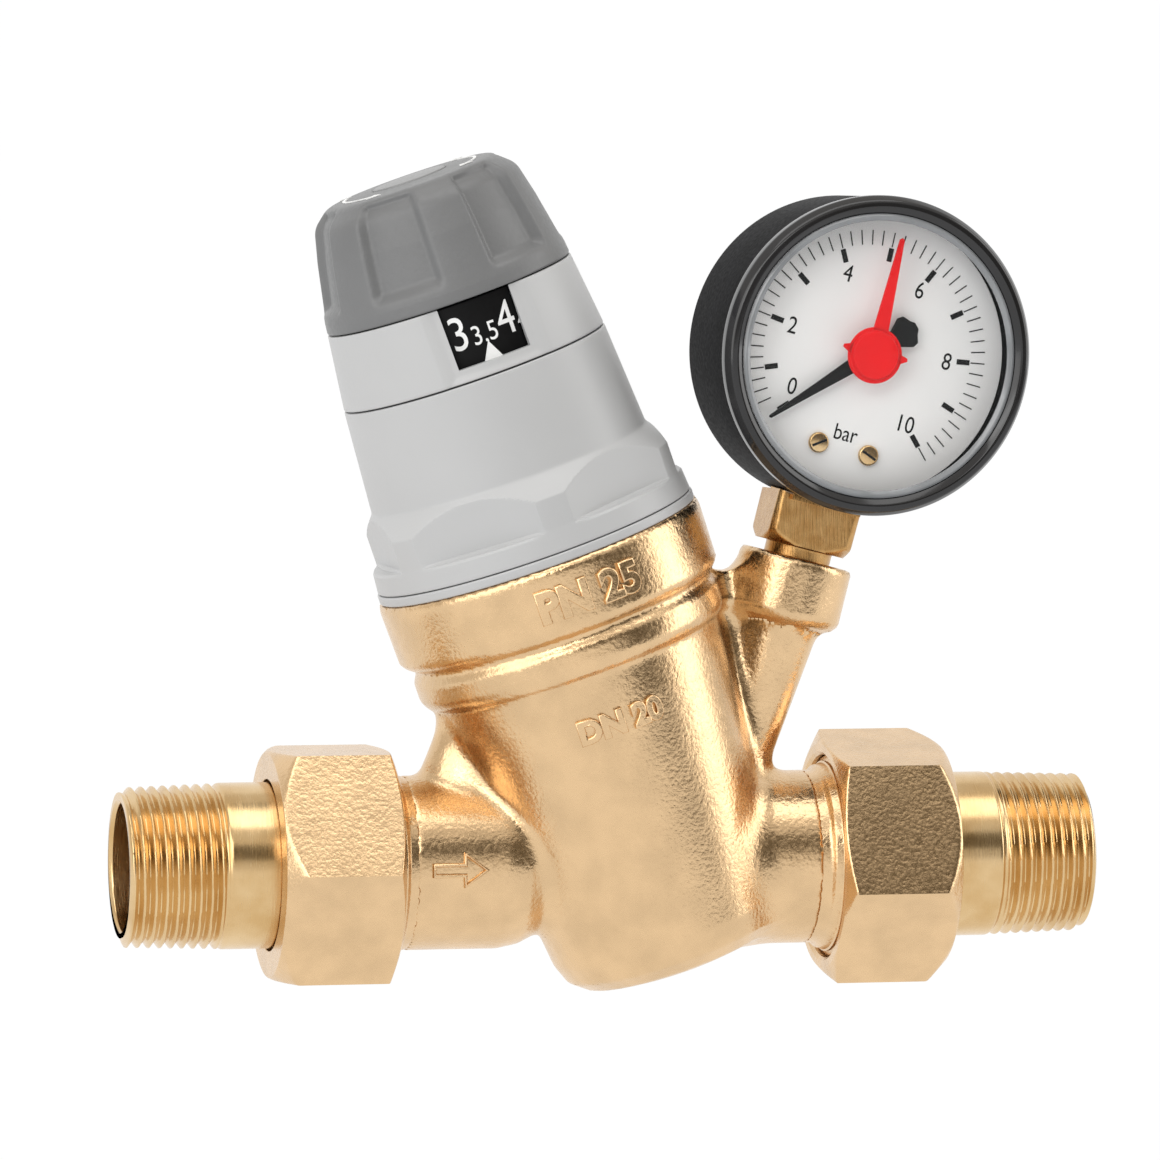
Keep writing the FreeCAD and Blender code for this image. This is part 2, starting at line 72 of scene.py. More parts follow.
def axes(origin, x, y, z):
    """A 4 x 4 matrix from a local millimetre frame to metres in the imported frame."""
    m = np.eye(4)
    m[:3, 0], m[:3, 1], m[:3, 2] = np.array(x) * MM, np.array(y) * MM, np.array(z) * MM
    m[:3, 3] = origin
    return m


CUP_UP = np.array(joint("knob_turn")["axis"])
CUP_AT = np.array(joint("knob_turn")["pos_m"])
CUP = axes(CUP_AT, (CUP_UP[2], 0, -CUP_UP[0]), (0, 1, 0), CUP_UP)
DIAL_OUT = -np.array(joint("pointer_turn")["axis"])
DIAL_AT = np.array(joint("pointer_turn")["pos_m"])
PORT_UP = np.array((-DIAL_OUT[2], 0, DIAL_OUT[0])) / math.hypot(DIAL_OUT[0], DIAL_OUT[2])
DIAL_RIGHT = np.cross(PORT_UP, DIAL_OUT)
DIAL = axes(DIAL_AT, DIAL_RIGHT, PORT_UP, DIAL_OUT)
DIAL_RISE = 34.9  # port mouth to dial centre
PORT = axes(DIAL_AT - PORT_UP * DIAL_RISE * MM, DIAL_RIGHT, -DIAL_OUT, PORT_UP)
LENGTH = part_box("outlet_tailpiece")[1][0] / MM
INLET = axes((0, 0, 0), (0, 0, -1), (0, 1, 0), (1, 0, 0))
OUTLET = axes((LENGTH * MM, 0, 0), (0, 0, 1), (0, 1, 0), (-1, 0, 0))
WORLD = axes((0, 0, 0), (1, 0, 0), (0, 1, 0), (0, 0, 1))


# ---------------------------------------------------------------- mesh helpers
def place(name, verts, faces, matrix, smooth=40.0):
    """A mesh object at the origin from local millimetre points, faces turned outwards."""
    verts = np.asarray(verts, float) @ matrix[:3, :3].T + matrix[:3, 3]
    mesh = bpy.data.meshes.new(name)
    mesh.from_pydata(verts.tolist(), [], [tuple(int(i) for i in f) for f in faces])
    mesh.validate()
    if smooth:
        mesh.shade_smooth()
        mesh.set_sharp_from_angle(angle=math.radians(smooth))
    obj = bpy.data.objects.new(name, mesh)
    bpy.context.scene.collection.objects.link(obj)
    return obj


def rounded(corners, arc=5):
    """An outline whose (radius, height, fillet) corners are arcs of the given fillet."""
    n, points = len(corners), []
    for k, (r, z, fillet) in enumerate(corners):
        here = np.array((r, z))
        before = np.array(corners[k - 1][:2]) - here
        after = np.array(corners[(k + 1) % n][:2]) - here
        la, lb = np.linalg.norm(before), np.linalg.norm(after)
        if not fillet or la < 1e-6 or lb < 1e-6:
            points.append(here)
            continue
        before, after = before / la, after / lb
        half = math.acos(max(-1.0, min(1.0, before @ after))) / 2
        cut = min(fillet / math.tan(half), la * 0.49, lb * 0.49)
        radius = cut * math.tan(half)
        middle = (before + after) / np.linalg.norm(before + after)
        centre = here + middle * radius / math.sin(half)
        start, end = here + before * cut - centre, here + after * cut - centre
        for i in range(arc + 1):
            t = i / arc
            spoke = start * (1 - t) + end * t
            points.append(centre + spoke / np.linalg.norm(spoke) * radius)
    return np.array(points)


def spaced(points, step, closed=True):
    """The same outline with no gap longer than step."""
    out = []
    last = len(points) if closed else len(points) - 1
    for k in range(last):
        a, b = points[k], points[(k + 1) % len(points)]
        pieces = max(1, int(np.linalg.norm(b - a) / step))
        out += [a + (b - a) * i / pieces for i in range(pieces)]
    if not closed:
        out.append(points[-1])
    return np.array(out)


def lathe(outline, shape=None, steps=STEPS, start=0.0):
    """Points and faces of a turned piece. The outline is closed, or open with both ends on the axis.
    shape(angle, radius, height) gives the radius and height where the piece isn't round."""
    poles = outline[0][0] < 1e-6 and outline[-1][0] < 1e-6
    rows = outline[1:-1] if poles else outline
    angle = start + np.arange(steps) * 2 * math.pi / steps
    a, r = np.meshgrid(angle, rows[:, 0])
    z = np.repeat(rows[:, 1:2], steps, 1)
    if shape:
        r, z = shape(a, r, z)
    verts = np.stack([r * np.cos(a), r * np.sin(a), z], -1).reshape(-1, 3)
    n = len(rows)
    i, j = np.meshgrid(np.arange(n if not poles else n - 1), np.arange(steps), indexing="ij")
    i, j = i.ravel(), j.ravel()
    p, q = (i + 1) % n, (j + 1) % steps
    faces = np.stack([i * steps + j, i * steps + q, p * steps + q, p * steps + j], -1).tolist()
    if poles:
        verts = np.vstack([verts, [[0, 0, outline[0][1]], [0, 0, outline[-1][1]]]])
        low, high, top = len(verts) - 2, len(verts) - 1, (n - 1) * steps
        faces += [(low, (k + 1) % steps, k) for k in range(steps)]
        faces += [(high, top + k, top + (k + 1) % steps) for k in range(steps)]
    before = np.roll(outline, 1, 0)
    if (before[:, 0] * outline[:, 1] - outline[:, 0] * before[:, 1]).sum() < 0:
        faces = [f[::-1] for f in faces]
    return verts, faces


def turned(name, corners, matrix, steps=STEPS):
    """A turned object from rounded corners."""
    verts, faces = lathe(rounded(corners), None, steps)
    return place(name, verts, faces, matrix)


def block(name, low, high, matrix):
    """A plain block between two corners, faces outwards."""
    spots = [(x, y, z) for x in (low[0], high[0]) for y in (low[1], high[1]) for z in (low[2], high[2])]
    sides = [(0, 1, 3, 2), (4, 6, 7, 5), (0, 4, 5, 1), (2, 3, 7, 6), (0, 2, 6, 4), (1, 5, 7, 3)]
    return place(name, spots, sides, matrix, 0)


def soft_min(a, b, k):
    """The smaller of two radii, blended over k."""
    h = np.clip(0.5 + 0.5 * (b - a) / k, 0, 1)
    return b * (1 - h) + a * h - k * h * (1 - h)


def hexagon_radius(angle, flats, turn):
    """Distance from the centre to a hexagon's side at an angle; turn is a corner's angle in degrees."""
    third = math.pi / 3
    off = (angle - math.radians(turn)) % third - third / 2
    return flats / 2 / np.cos(off)


def merged(name, parts):
    """Joins finished objects into one mesh."""
    for part in parts:
        part.select_set(True)
    bpy.context.view_layer.objects.active = parts[0]
    with bpy.context.temp_override(
        active_object=parts[0], selected_editable_objects=parts, object=parts[0]
    ):
        bpy.ops.object.join()
    parts[0].name = name
    parts[0].data.name = name
    parts[0].select_set(False)
    return parts[0]


def finish(piece, body, slot, material, *nodes):
    """Gives a piece its material, hangs it on its body's empty and hides the imported parts that it stands for."""
    piece.data.materials.clear()
    piece.data.materials.append(material)
    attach(piece, body)
    if nodes:
        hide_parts(*nodes)
    return piece


def baked(name, tree, matrix, values=()):
    """Runs a geometry tree on an empty mesh and keeps its result as a plain mesh."""
    holder = bpy.data.objects.new(name, bpy.data.meshes.new(name))
    bpy.context.scene.collection.objects.link(holder)
    modifier = holder.modifiers.new(name, "NODES")
    modifier.node_group = tree
    for item in tree.interface.items_tree:
        if item.item_type == "SOCKET" and item.in_out == "INPUT" and item.name in dict(values):
            modifier[item.identifier] = dict(values)[item.name]
    graph = bpy.context.evaluated_depsgraph_get()
    mesh = bpy.data.meshes.new_from_object(holder.evaluated_get(graph))
    holder.modifiers.remove(modifier)
    holder.data = mesh
    mesh.name = name
    points = np.empty(len(mesh.vertices) * 3)
    mesh.vertices.foreach_get("co", points)
    points = points.reshape(-1, 3) @ matrix[:3, :3].T + matrix[:3, 3]
    mesh.vertices.foreach_set("co", points.ravel())
    mesh.update()
    return holder


# ---------------------------------------------------------------- solids blended like a forging
def polygon_distance(corners, u, v):
    """Signed distance from (u, v) to a closed outline, negative inside."""
    best = np.full(u.shape, 1e9)
    inside = np.zeros(u.shape, bool)
    for k, (bu, bv) in enumerate(corners):
        au, av = corners[k - 1]
        du, dv = bu - au, bv - av
        t = np.clip(((u - au) * du + (v - av) * dv) / max(du * du + dv * dv, 1e-9), 0, 1)
        best = np.minimum(best, (u - au - t * du) ** 2 + (v - av - t * dv) ** 2)
        if dv:
            inside ^= ((av > v) != (bv > v)) & (u < du * (v - av) / dv + au)
    return np.where(inside, -1, 1) * np.sqrt(best)


def local(matrix, grid):
    """Grid points in a local millimetre frame."""
    inverse = np.linalg.inv(matrix)
    return [sum(inverse[r, c] * MM * grid[c] for c in range(3)) + inverse[r, 3] for r in range(3)]


def turned_distance(corners, matrix, grid):
    """Signed distance to a turned solid given by (radius, height) corners."""
    x, y, z = local(matrix, grid)
    full = list(corners) + [(-r, z_) for r, z_ in reversed(corners)]
    return polygon_distance(full, np.hypot(x, y), z)


def taper_distance(a, ra, b, rb, grid):
    """Signed distance to a round bar from point a, radius ra, to point b, radius rb."""
    d = np.subtract(b, a)
    t = sum((grid[c] - a[c]) * d[c] for c in range(3)) / (d @ d)
    t = np.clip(t, 0, 1)
    gap = np.sqrt(sum((grid[c] - a[c] - t * d[c]) ** 2 for c in range(3)))
    return gap - (ra + (rb - ra) * t)


def blend_in(a, b, fillet):
    """Union of two solids with a fillet where they meet."""
    h = np.clip(0.5 + 0.5 * (b - a) / fillet, 0, 1)
    return b * (1 - h) + a * h - fillet * h * (1 - h)


def skin(field, low, step):
    """Points and quads of the zero surface of a grid of distances."""
    shape = np.array(field.shape) - 1
    inside = field < 0

    def cell(grid, d):
        return grid[d[0] : d[0] + shape[0], d[1] : d[1] + shape[1], d[2] : d[2] + shape[2]]

    corners = [(i, j, k) for i in (0, 1) for j in (0, 1) for k in (0, 1)]
    count = sum(cell(inside, d).astype(int) for d in corners)
    mixed = (count > 0) & (count < 8)
    index = np.full(shape, -1)
    index[mixed] = np.arange(mixed.sum())
    total, crossings = np.zeros((mixed.sum(), 3)), np.zeros(mixed.sum())
    for d in corners:
        for axis in range(3):
            if d[axis]:
                continue
            e = list(d)
            e[axis] = 1
            a, b = cell(field, d)[mixed], cell(field, e)[mixed]
            cut = (a < 0) != (b < 0)
            t = np.where(cut, a / np.where(cut, a - b, 1), 0)
            point = np.tile(np.array(d, float), (len(a), 1))
            point[:, axis] += t
            total += point * cut[:, None]
            crossings += cut
    verts = low + step * (np.argwhere(mixed) + total / crossings[:, None])
    faces = []
    for axis in range(3):
        u, v = (axis + 1) % 3, (axis + 2) % 3
        first = [slice(1, -1)] * 3
        second = [slice(1, -1)] * 3
        first[axis], second[axis] = slice(0, -1), slice(1, None)
        a, b = inside[tuple(first)], inside[tuple(second)]
        at = np.argwhere(a != b)
        at[:, u] += 1
        at[:, v] += 1
        quad = []
        for du, dv in ((1, 1), (0, 1), (0, 0), (1, 0)):
            c = at.copy()
            c[:, u] -= du
            c[:, v] -= dv
            quad.append(index[tuple(c.T)])
        quad = np.stack(quad, -1)
        flip = ~a[a != b]
        quad[flip] = quad[flip][:, ::-1]
        faces.append(quad)
    return verts, np.vstack(faces)


# ---------------------------------------------------------------- finishes
def linear(colour):
    """A linear RGBA colour from an sRGB hex value. A colour that is linear already passes through."""
    if not isinstance(colour, str):
        return list(colour)
    parts = [int(colour[k : k + 2], 16) / 255 for k in (1, 3, 5)]
    return [c / 12.92 if c <= 0.04045 else ((c + 0.055) / 1.055) ** 2.4 for c in parts] + [1.0]


def add(tree, kind, values=None, links=None):
    """Adds a node; values and links are by socket identifier or name, or by the node's own attribute."""
    node = tree.nodes.new(kind)

    def find(key):
        by_identifier = [s for s in node.inputs if s.identifier == key]
        by_name = [s for s in node.inputs if s.name == key]
        return (by_identifier + by_name)[0]

    for key, value in (values or {}).items():
        if hasattr(node, key):
            setattr(node, key, value)
        else:
            find(key).default_value = value
    for key, source in (links or {}).items():
        tree.links.new(source, find(key))
    return node


def darker(colour, share):
    """A linear colour scaled down."""
    return [c * share for c in colour[:3]] + [1.0]


def surface(
    name, colour, shade, mottle, roughness, spread, grain, stretch=(1, 1, 1), turn=(0, 0, 0), **constants
):
    """A procedural finish: colour and shade mixed in patches of mottle mm, roughness give or take
    spread, and bumps from grain, a list of (size in mm, height in mm). stretch lengthens the grain."""
    material = bpy.data.materials.new(name)
    material.use_nodes = True
    tree = material.node_tree
    tree.nodes.clear()
    where = add(tree, "ShaderNodeTexCoord").outputs["Object"]
    patches = add(
        tree, "ShaderNodeTexNoise", {"Scale": 1 / (mottle * MM), "Detail": 4.0}, {"Vector": where}
    )
    tone = add(
        tree, "ShaderNodeMapRange", {"From Min": 0.35, "From Max": 0.65}, {"Value": patches.outputs[0]}
    )
    tint = add(
        tree,
        "ShaderNodeMix",
        {"data_type": "RGBA", "A_Color": linear(colour), "B_Color": linear(shade)},
        {"Factor_Float": tone.outputs[0]},
    )
    mapping = add(tree, "ShaderNodeMapping", {"Scale": stretch, "Rotation": turn}, {"Vector": where})
    squeezed = mapping.outputs[0]
    normal = None
    for size, height in grain:
        bumps = add(
            tree, "ShaderNodeTexNoise",
            {"Scale": 1 / (size * MM), "Detail": 2.0, "Roughness": 0.5}, {"Vector": squeezed}
        )
        links = {"Height": bumps.outputs[0]}
        if normal:
            links["Normal"] = normal
        normal = add(tree, "ShaderNodeBump", {"Strength": 1.0, "Distance": height * MM}, links).outputs[0]
    gloss = add(
        tree,
        "ShaderNodeMapRange",
        {"From Min": 0.3, "From Max": 0.7, "To Min": roughness - spread, "To Max": roughness + spread},
        {"Value": bumps.outputs[0]},
    )
    links = {"Base Color": tint.outputs[2], "Roughness": gloss.outputs[0], "Normal": normal}
    shader = add(tree, "ShaderNodeBsdfPrincipled", constants, links)
    add(tree, "ShaderNodeOutputMaterial", None, {"Surface": shader.outputs[0]})
    return material


def sandblasted_brass():
    """Hot-forged brass after shot blasting: pale gold with a pebbled skin that breaks highlights up.
    The real peening is finer than it shows, so it is drawn about 0.6 mm across."""
    brass = settings().brass
    return surface(
        "sandblasted brass", brass, darker(brass, 0.88),
        6.0, 0.25, 0.06, [(1.6, 0.04), (0.62, 0.07)], Metallic=1.0
    )


def turned_brass():
    """Brass left bright from the lathe: fine rings round the pipe's axis."""
    return surface(
        "turned brass", "#E3C596", "#D2AE79", 9.0, 0.22,
        0.06, [(0.5, 0.012)], (3.0, 0.15, 0.15), Metallic=1.0
    )


def drawn_brass():
    """Square brass bar as it leaves the die: streaks along its length."""
    return surface(
        "drawn brass", "#C9A069", "#B98D56", 2.0, 0.26, 0.07,
        [(0.5, 0.04)], (2.5, 2.5, 0.12), (0, math.radians(-15.3), 0),
        Metallic=1.0,
    )


def stainless_steel():
    """Turned stainless steel: grey, satin."""
    return surface("stainless steel", "#B4B4B2", "#97979A", 6.0, 0.3, 0.06, [(0.6, 0.01)], Metallic=1.0)


def spring_steel():
    """Drawn spring wire: dark grey with a light oil sheen."""
    return surface("spring steel", "#6A6A6E", "#505056", 5.0, 0.34, 0.08, [(0.7, 0.015)], Metallic=1.0)


def light_grey_polyamide():
    """Glass-filled polyamide, moulded: light grey, satin, with a barely visible spark-eroded grain."""
    cover = settings().cover
    return surface(
        "light grey polyamide", cover, darker(cover, 0.96), 22.0,
        0.4, 0.04, [(0.55, 0.006)], IOR=1.5, **{"Specular IOR Level": 0.5}
    )


def dark_grey_polyamide():
    """The knob's polyamide: mid grey with a fine moulded grain."""
    cap = settings().cap
    return surface("dark grey polyamide", cap, darker(cap, 0.9), 15.0, 0.4, 0.05, [(0.7, 0.035)], IOR=1.5)


def insert_polyamide():
    """The knob's cover disc: a paler grey moulding."""
    return surface("insert polyamide", "#8C8D8E", "#868788", 12.0, 0.4, 0.05, [(0.6, 0.008)], IOR=1.5)


def drum_plastic():
    """Black moulded drum, matt so that its figures read."""
    return surface(
        "black drum plastic", "#0B0B0C", "#101011", 8.0,
        0.42, 0.06, [(0.5, 0.006)], **{"Specular IOR Level": 0.15}
    )


def case_plastic():
    """Black ABS case with a fine eroded grain."""
    return surface(
        "black abs case", "#101011", "#18181A", 10.0, 0.45,
        0.06, [(0.6, 0.03)], **{"Specular IOR Level": 0.02}
    )


def bezel_plastic():
    """Polished black ring: smooth, with long clear highlights."""
    return surface("polished black ring", "#1A1A1B", "#222224", 18.0, 0.14, 0.04, [(4.0, 0.004)], IOR=1.53)


def lip_plastic():
    """The window's moulded edge, glossy: its silvery grey is painted light, standing for the light that runs round
    inside it.
    """
    return surface("window edge painted light", "#8E9194", "#7A7D80", 9.0, 0.1, 0.03, [(3.0, 0.004)], IOR=1.58)


def window_plastic():
    """Clear polycarbonate: mostly see-through, with a clean reflection."""
    return surface(
        "clear polycarbonate", "#DDE2E4", "#D6DBDD", 30.0, 0.04, 0.01, [(9.0, 0.002)], IOR=1.58, Alpha=0.015
    )


def dial_enamel():
    """White stove enamel on the dial sheet."""
    return surface("white dial enamel", "#FCFCFC", "#F8F9F9", 12.0, 0.35, 0.05, [(0.8, 0.003)], IOR=1.5)


def black_ink():
    """Printed black: dial marks, figures and the pointer's paint."""
    return surface(
        "black print", "#060607", "#0A0A0B", 3.0, 0.5, 0.08, [(0.4, 0.003)], **{"Specular IOR Level": 0.15}
    )


def white_ink():
    """White print on the drum and the knob."""
    return surface("white print", "#EDEEEE", "#E2E3E3", 3.0, 0.5, 0.08, [(0.4, 0.003)], IOR=1.5)


def red_plastic():
    """Glossy red moulding of the set hand."""
    marker = settings().marker
    return surface(
        "glossy red plastic", marker, darker(marker, 0.9), 6.0,
        0.3, 0.04, [(2.0, 0.004)], **{"Specular IOR Level": 0.15}
    )


def seal_rubber():
    """Black nitrile rubber."""
    return surface("nitrile rubber", "#161616", "#1E1E1E", 4.0, 0.6, 0.08, [(0.5, 0.01)], IOR=1.52)


def gasket_fibre():
    """Green-grey pressed fibre sheet."""
    return surface("pressed fibre", "#5D6B57", "#4C5848", 1.2, 0.8, 0.08, [(0.4, 0.03)], IOR=1.5)


def strainer_plastic():
    """Dark acetal basket."""
    return surface("dark acetal", "#262628", "#2E2E30", 6.0, 0.4, 0.06, [(0.6, 0.01)], IOR=1.5)


FINISHES = {
    "cast_brass": sandblasted_brass,
    "turned_brass": turned_brass,
    "stainless_steel": stainless_steel,
    "spring_steel": spring_steel,
    "light_grey_plastic": light_grey_polyamide,
    "dark_grey_plastic": dark_grey_polyamide,
    "insert_grey_plastic": insert_polyamide,
    "black_drum_plastic": drum_plastic,
    "strainer_plastic": strainer_plastic,
    "gauge_case_plastic": case_plastic,
    "gauge_bezel_plastic": bezel_plastic,
    "bezel_lip": lip_plastic,
    "clear_plastic": window_plastic,
    "dial_enamel": dial_enamel,
    "pointer_black": black_ink,
    "set_hand_red": red_plastic,
    "rubber_seal": seal_rubber,
    "fibre_gasket": gasket_fibre,
    "drawn_brass": drawn_brass,
    "white_ink": white_ink,
}
made_finishes = {}


def finish_of(slot):
    """The material of a slot, made once."""
    if slot not in made_finishes:
        made_finishes[slot] = FINISHES[slot]()
    return made_finishes[slot]


# ---------------------------------------------------------------- flat marks and lettering
def wrapped(obj, radius, angle, height, matrix, along=False):
    """Bends a flat millimetre mesh round a turned surface: x runs round it, y along its axis and z out
    of it. radius(height) is the surface. With along, x runs along the axis instead."""
    mesh = obj.data
    points = np.empty(len(mesh.vertices) * 3)
    mesh.vertices.foreach_get("co", points)
    x, y, z = points.reshape(-1, 3).T
    if along:
        x, y = -y, x
    h = y + height
    base = radius(h)
    a = math.radians(angle) + x / base
    r = base + z
    points = np.stack([r * np.cos(a), r * np.sin(a), h], -1) @ matrix[:3, :3].T + matrix[:3, 3]
    mesh.vertices.foreach_set("co", points.ravel())
    mesh.update()
    return obj


def laid(obj, matrix):
    """Places a flat millimetre mesh in a frame."""
    mesh = obj.data
    points = np.empty(len(mesh.vertices) * 3)
    mesh.vertices.foreach_get("co", points)
    points = points.reshape(-1, 3) @ matrix[:3, :3].T + matrix[:3, 3]
    mesh.vertices.foreach_set("co", points.ravel())
    mesh.update()
    return obj


def lettering(name, words, height, thick, x=0.0, y=0.0, z=0.0, bevel=0.0, weight=0.0, narrow=1.0):
    """Text as a flat mesh in millimetres, centred on (x, y), with its figures height tall."""
    curve = bpy.data.curves.new(name, "FONT")
    curve.body = words
    curve.size = height / 0.73
    curve.align_x = "CENTER"
    curve.extrude = thick
    curve.bevel_depth = bevel
    curve.bevel_resolution = 1
    curve.offset = weight
    curve.resolution_u = 4
    text = bpy.data.objects.new(name, curve)
    bpy.context.scene.collection.objects.link(text)
    graph = bpy.context.evaluated_depsgraph_get()
    mesh = bpy.data.meshes.new_from_object(text.evaluated_get(graph))
    bpy.data.objects.remove(text)
    bpy.data.curves.remove(curve)
    points = np.empty(len(mesh.vertices) * 3)
    mesh.vertices.foreach_get("co", points)
    points = points.reshape(-1, 3)
    points[:, 0] *= narrow
    points += (x, y, z)
    mesh.vertices.foreach_set("co", points.ravel())
    mesh.name = name
    obj = bpy.data.objects.new(name, mesh)
    bpy.context.scene.collection.objects.link(obj)
    return obj


def plate(name, outline, low, high):
    """A flat plate with the given outline, in millimetres, before it is placed."""
    n = len(outline)
    verts = [(x, y, low) for x, y in outline] + [(x, y, high) for x, y in outline]
    faces = [tuple(range(n))[::-1], tuple(range(n, 2 * n))]
    faces += [(k, (k + 1) % n, n + (k + 1) % n, n + k) for k in range(n)]
    return place(name, verts, faces, np.eye(4), 0)


def arc_band(radius, width, start, end, steps=24):
    """The outline of a flat band along an arc, angles in degrees."""
    angles = np.radians(np.linspace(start, end, steps))
    outer = [((radius + width / 2) * math.cos(a), (radius + width / 2) * math.sin(a)) for a in angles]
    inner = [((radius - width / 2) * math.cos(a), (radius - width / 2) * math.sin(a)) for a in angles]
    return inner + outer[::-1]


def socket(tree, name, kind, default):
    """A named size on a geometry tree."""
    made = tree.interface.new_socket(name=name, in_out="INPUT", socket_type=kind)
    made.default_value = default


def marks_tree(material):
    """Flat bars set round an arc: the minor and major marks of a dial."""
    tree = bpy.data.node_groups.new("dial marks", "GeometryNodeTree")
    tree.interface.new_socket(name="Geometry", in_out="OUTPUT", socket_type="NodeSocketGeometry")
    for name, kind, default in (
        ("Count", "NodeSocketInt", 51),
        ("Start", "NodeSocketFloat", -135.0),
        ("Step", "NodeSocketFloat", 5.4),
        ("Radius", "NodeSocketFloat", 20.0),
        ("Width", "NodeSocketFloat", 0.2),
        ("Length", "NodeSocketFloat", 2.0),
        ("Height", "NodeSocketFloat", 9.05),
    ):
        socket(tree, name, kind, default)
    ins = add(tree, "NodeGroupInput").outputs
    line = add(tree, "GeometryNodeMeshLine", {"mode": "OFFSET"}, {"Count": ins["Count"]})
    index = add(tree, "GeometryNodeInputIndex").outputs[0]

    def calc(operation, a, b=None):
        node = add(tree, "ShaderNodeMath", {"operation": operation})
        for entry, value in zip(node.inputs, (a, b)):
            if value is None:
                continue
            if isinstance(value, (int, float)):
                entry.default_value = value
            else:
                tree.links.new(value, entry)
        return node.outputs[0]

    degrees = calc("ADD", ins["Start"], calc("MULTIPLY", index, ins["Step"]))
    angle = calc("RADIANS", degrees)
    x = calc("MULTIPLY", calc("SINE", angle), ins["Radius"])
    y = calc("MULTIPLY", calc("COSINE", angle), ins["Radius"])
    spot = add(tree, "ShaderNodeCombineXYZ", None, {"X": x, "Y": y, "Z": ins["Height"]}).outputs[0]
    moved = add(tree, "GeometryNodeSetPosition", None, {"Geometry": line.outputs[0], "Position": spot})
    size = add(tree, "ShaderNodeCombineXYZ", {"Z": 0.05}, {"X": ins["Width"], "Y": ins["Length"]})
    bar = add(tree, "GeometryNodeMeshCube", None, {"Size": size.outputs[0]})
    turn = add(tree, "ShaderNodeCombineXYZ", None, {"Z": calc("MULTIPLY", angle, -1.0)}).outputs[0]
    euler = add(tree, "FunctionNodeEulerToRotation", None, {"Euler": turn}).outputs[0]
    bars = add(
        tree, "GeometryNodeInstanceOnPoints", None,
        {"Points": moved.outputs[0], "Instance": bar.outputs[0], "Rotation": euler},
    )
    real = add(tree, "GeometryNodeRealizeInstances", None, {"Geometry": bars.outputs[0]})
    paint = add(tree, "GeometryNodeSetMaterial", {"Material": material}, {"Geometry": real.outputs[0]})
    add(tree, "NodeGroupOutput", None, {"Geometry": paint.outputs[0]})
    return tree


def spring_tree(material):
    """Round wire along a helix."""
    tree = bpy.data.node_groups.new("spring wire", "GeometryNodeTree")
    tree.interface.new_socket(name="Geometry", in_out="OUTPUT", socket_type="NodeSocketGeometry")
    for name, default in (("Turns", 4.6), ("Radius", 12.5), ("Rise", 23.4), ("Wire", 1.7)):
        socket(tree, name, "NodeSocketFloat", default)
    ins = add(tree, "NodeGroupInput").outputs
    coil = add(
        tree, "GeometryNodeCurveSpiral", {"Resolution": 48},
        {
            "Rotations": ins["Turns"], "Start Radius": ins["Radius"],
            "End Radius": ins["Radius"], "Height": ins["Rise"]
        },
    )
    wire = add(tree, "GeometryNodeCurvePrimitiveCircle", {"Resolution": 20}, {"Radius": ins["Wire"]})
    tube = add(
        tree, "GeometryNodeCurveToMesh", {"Fill Caps": True},
        {"Curve": coil.outputs[0], "Profile Curve": wire.outputs[0]},
    )
    smooth = add(tree, "GeometryNodeSetShadeSmooth", None, {"Geometry": tube.outputs[0]})
    real = add(tree, "GeometryNodeRealizeInstances", None, {"Geometry": smooth.outputs[0]})
    paint = add(tree, "GeometryNodeSetMaterial", {"Material": material}, {"Geometry": real.outputs[0]})
    add(tree, "NodeGroupOutput", None, {"Geometry": paint.outputs[0]})
    return tree


# ---------------------------------------------------------------- brass pieces
NECK_R = 14.15
NECK_BORE_R = 9.8
CUP_OUTLINE = [(0, 0), (27.1, 0), (27.4, -1.2), (27.2, -10.2), (26.5, -11.2), (25.2, -12.0), (25.2, -12.7)]
CUP_OUTLINE += [
    (26.0, -14.0), (26.0, -17.0), (25.4, -18.3), (24.2, -19.2), (23.9, -25), (20.3, -59), (19.6, -65.4)
]
CUP_OUTLINE += [(18.4, -68.6), (15.8, -70.7), (12.0, -71.5), (0, -71.5)]
CUP_HOLLOW = [(0, 2), (24.1, 2), (24.1, -8), (18.5, -8), (18.5, -34), (12.5, -34), (12.5, -66), (0, -66)]


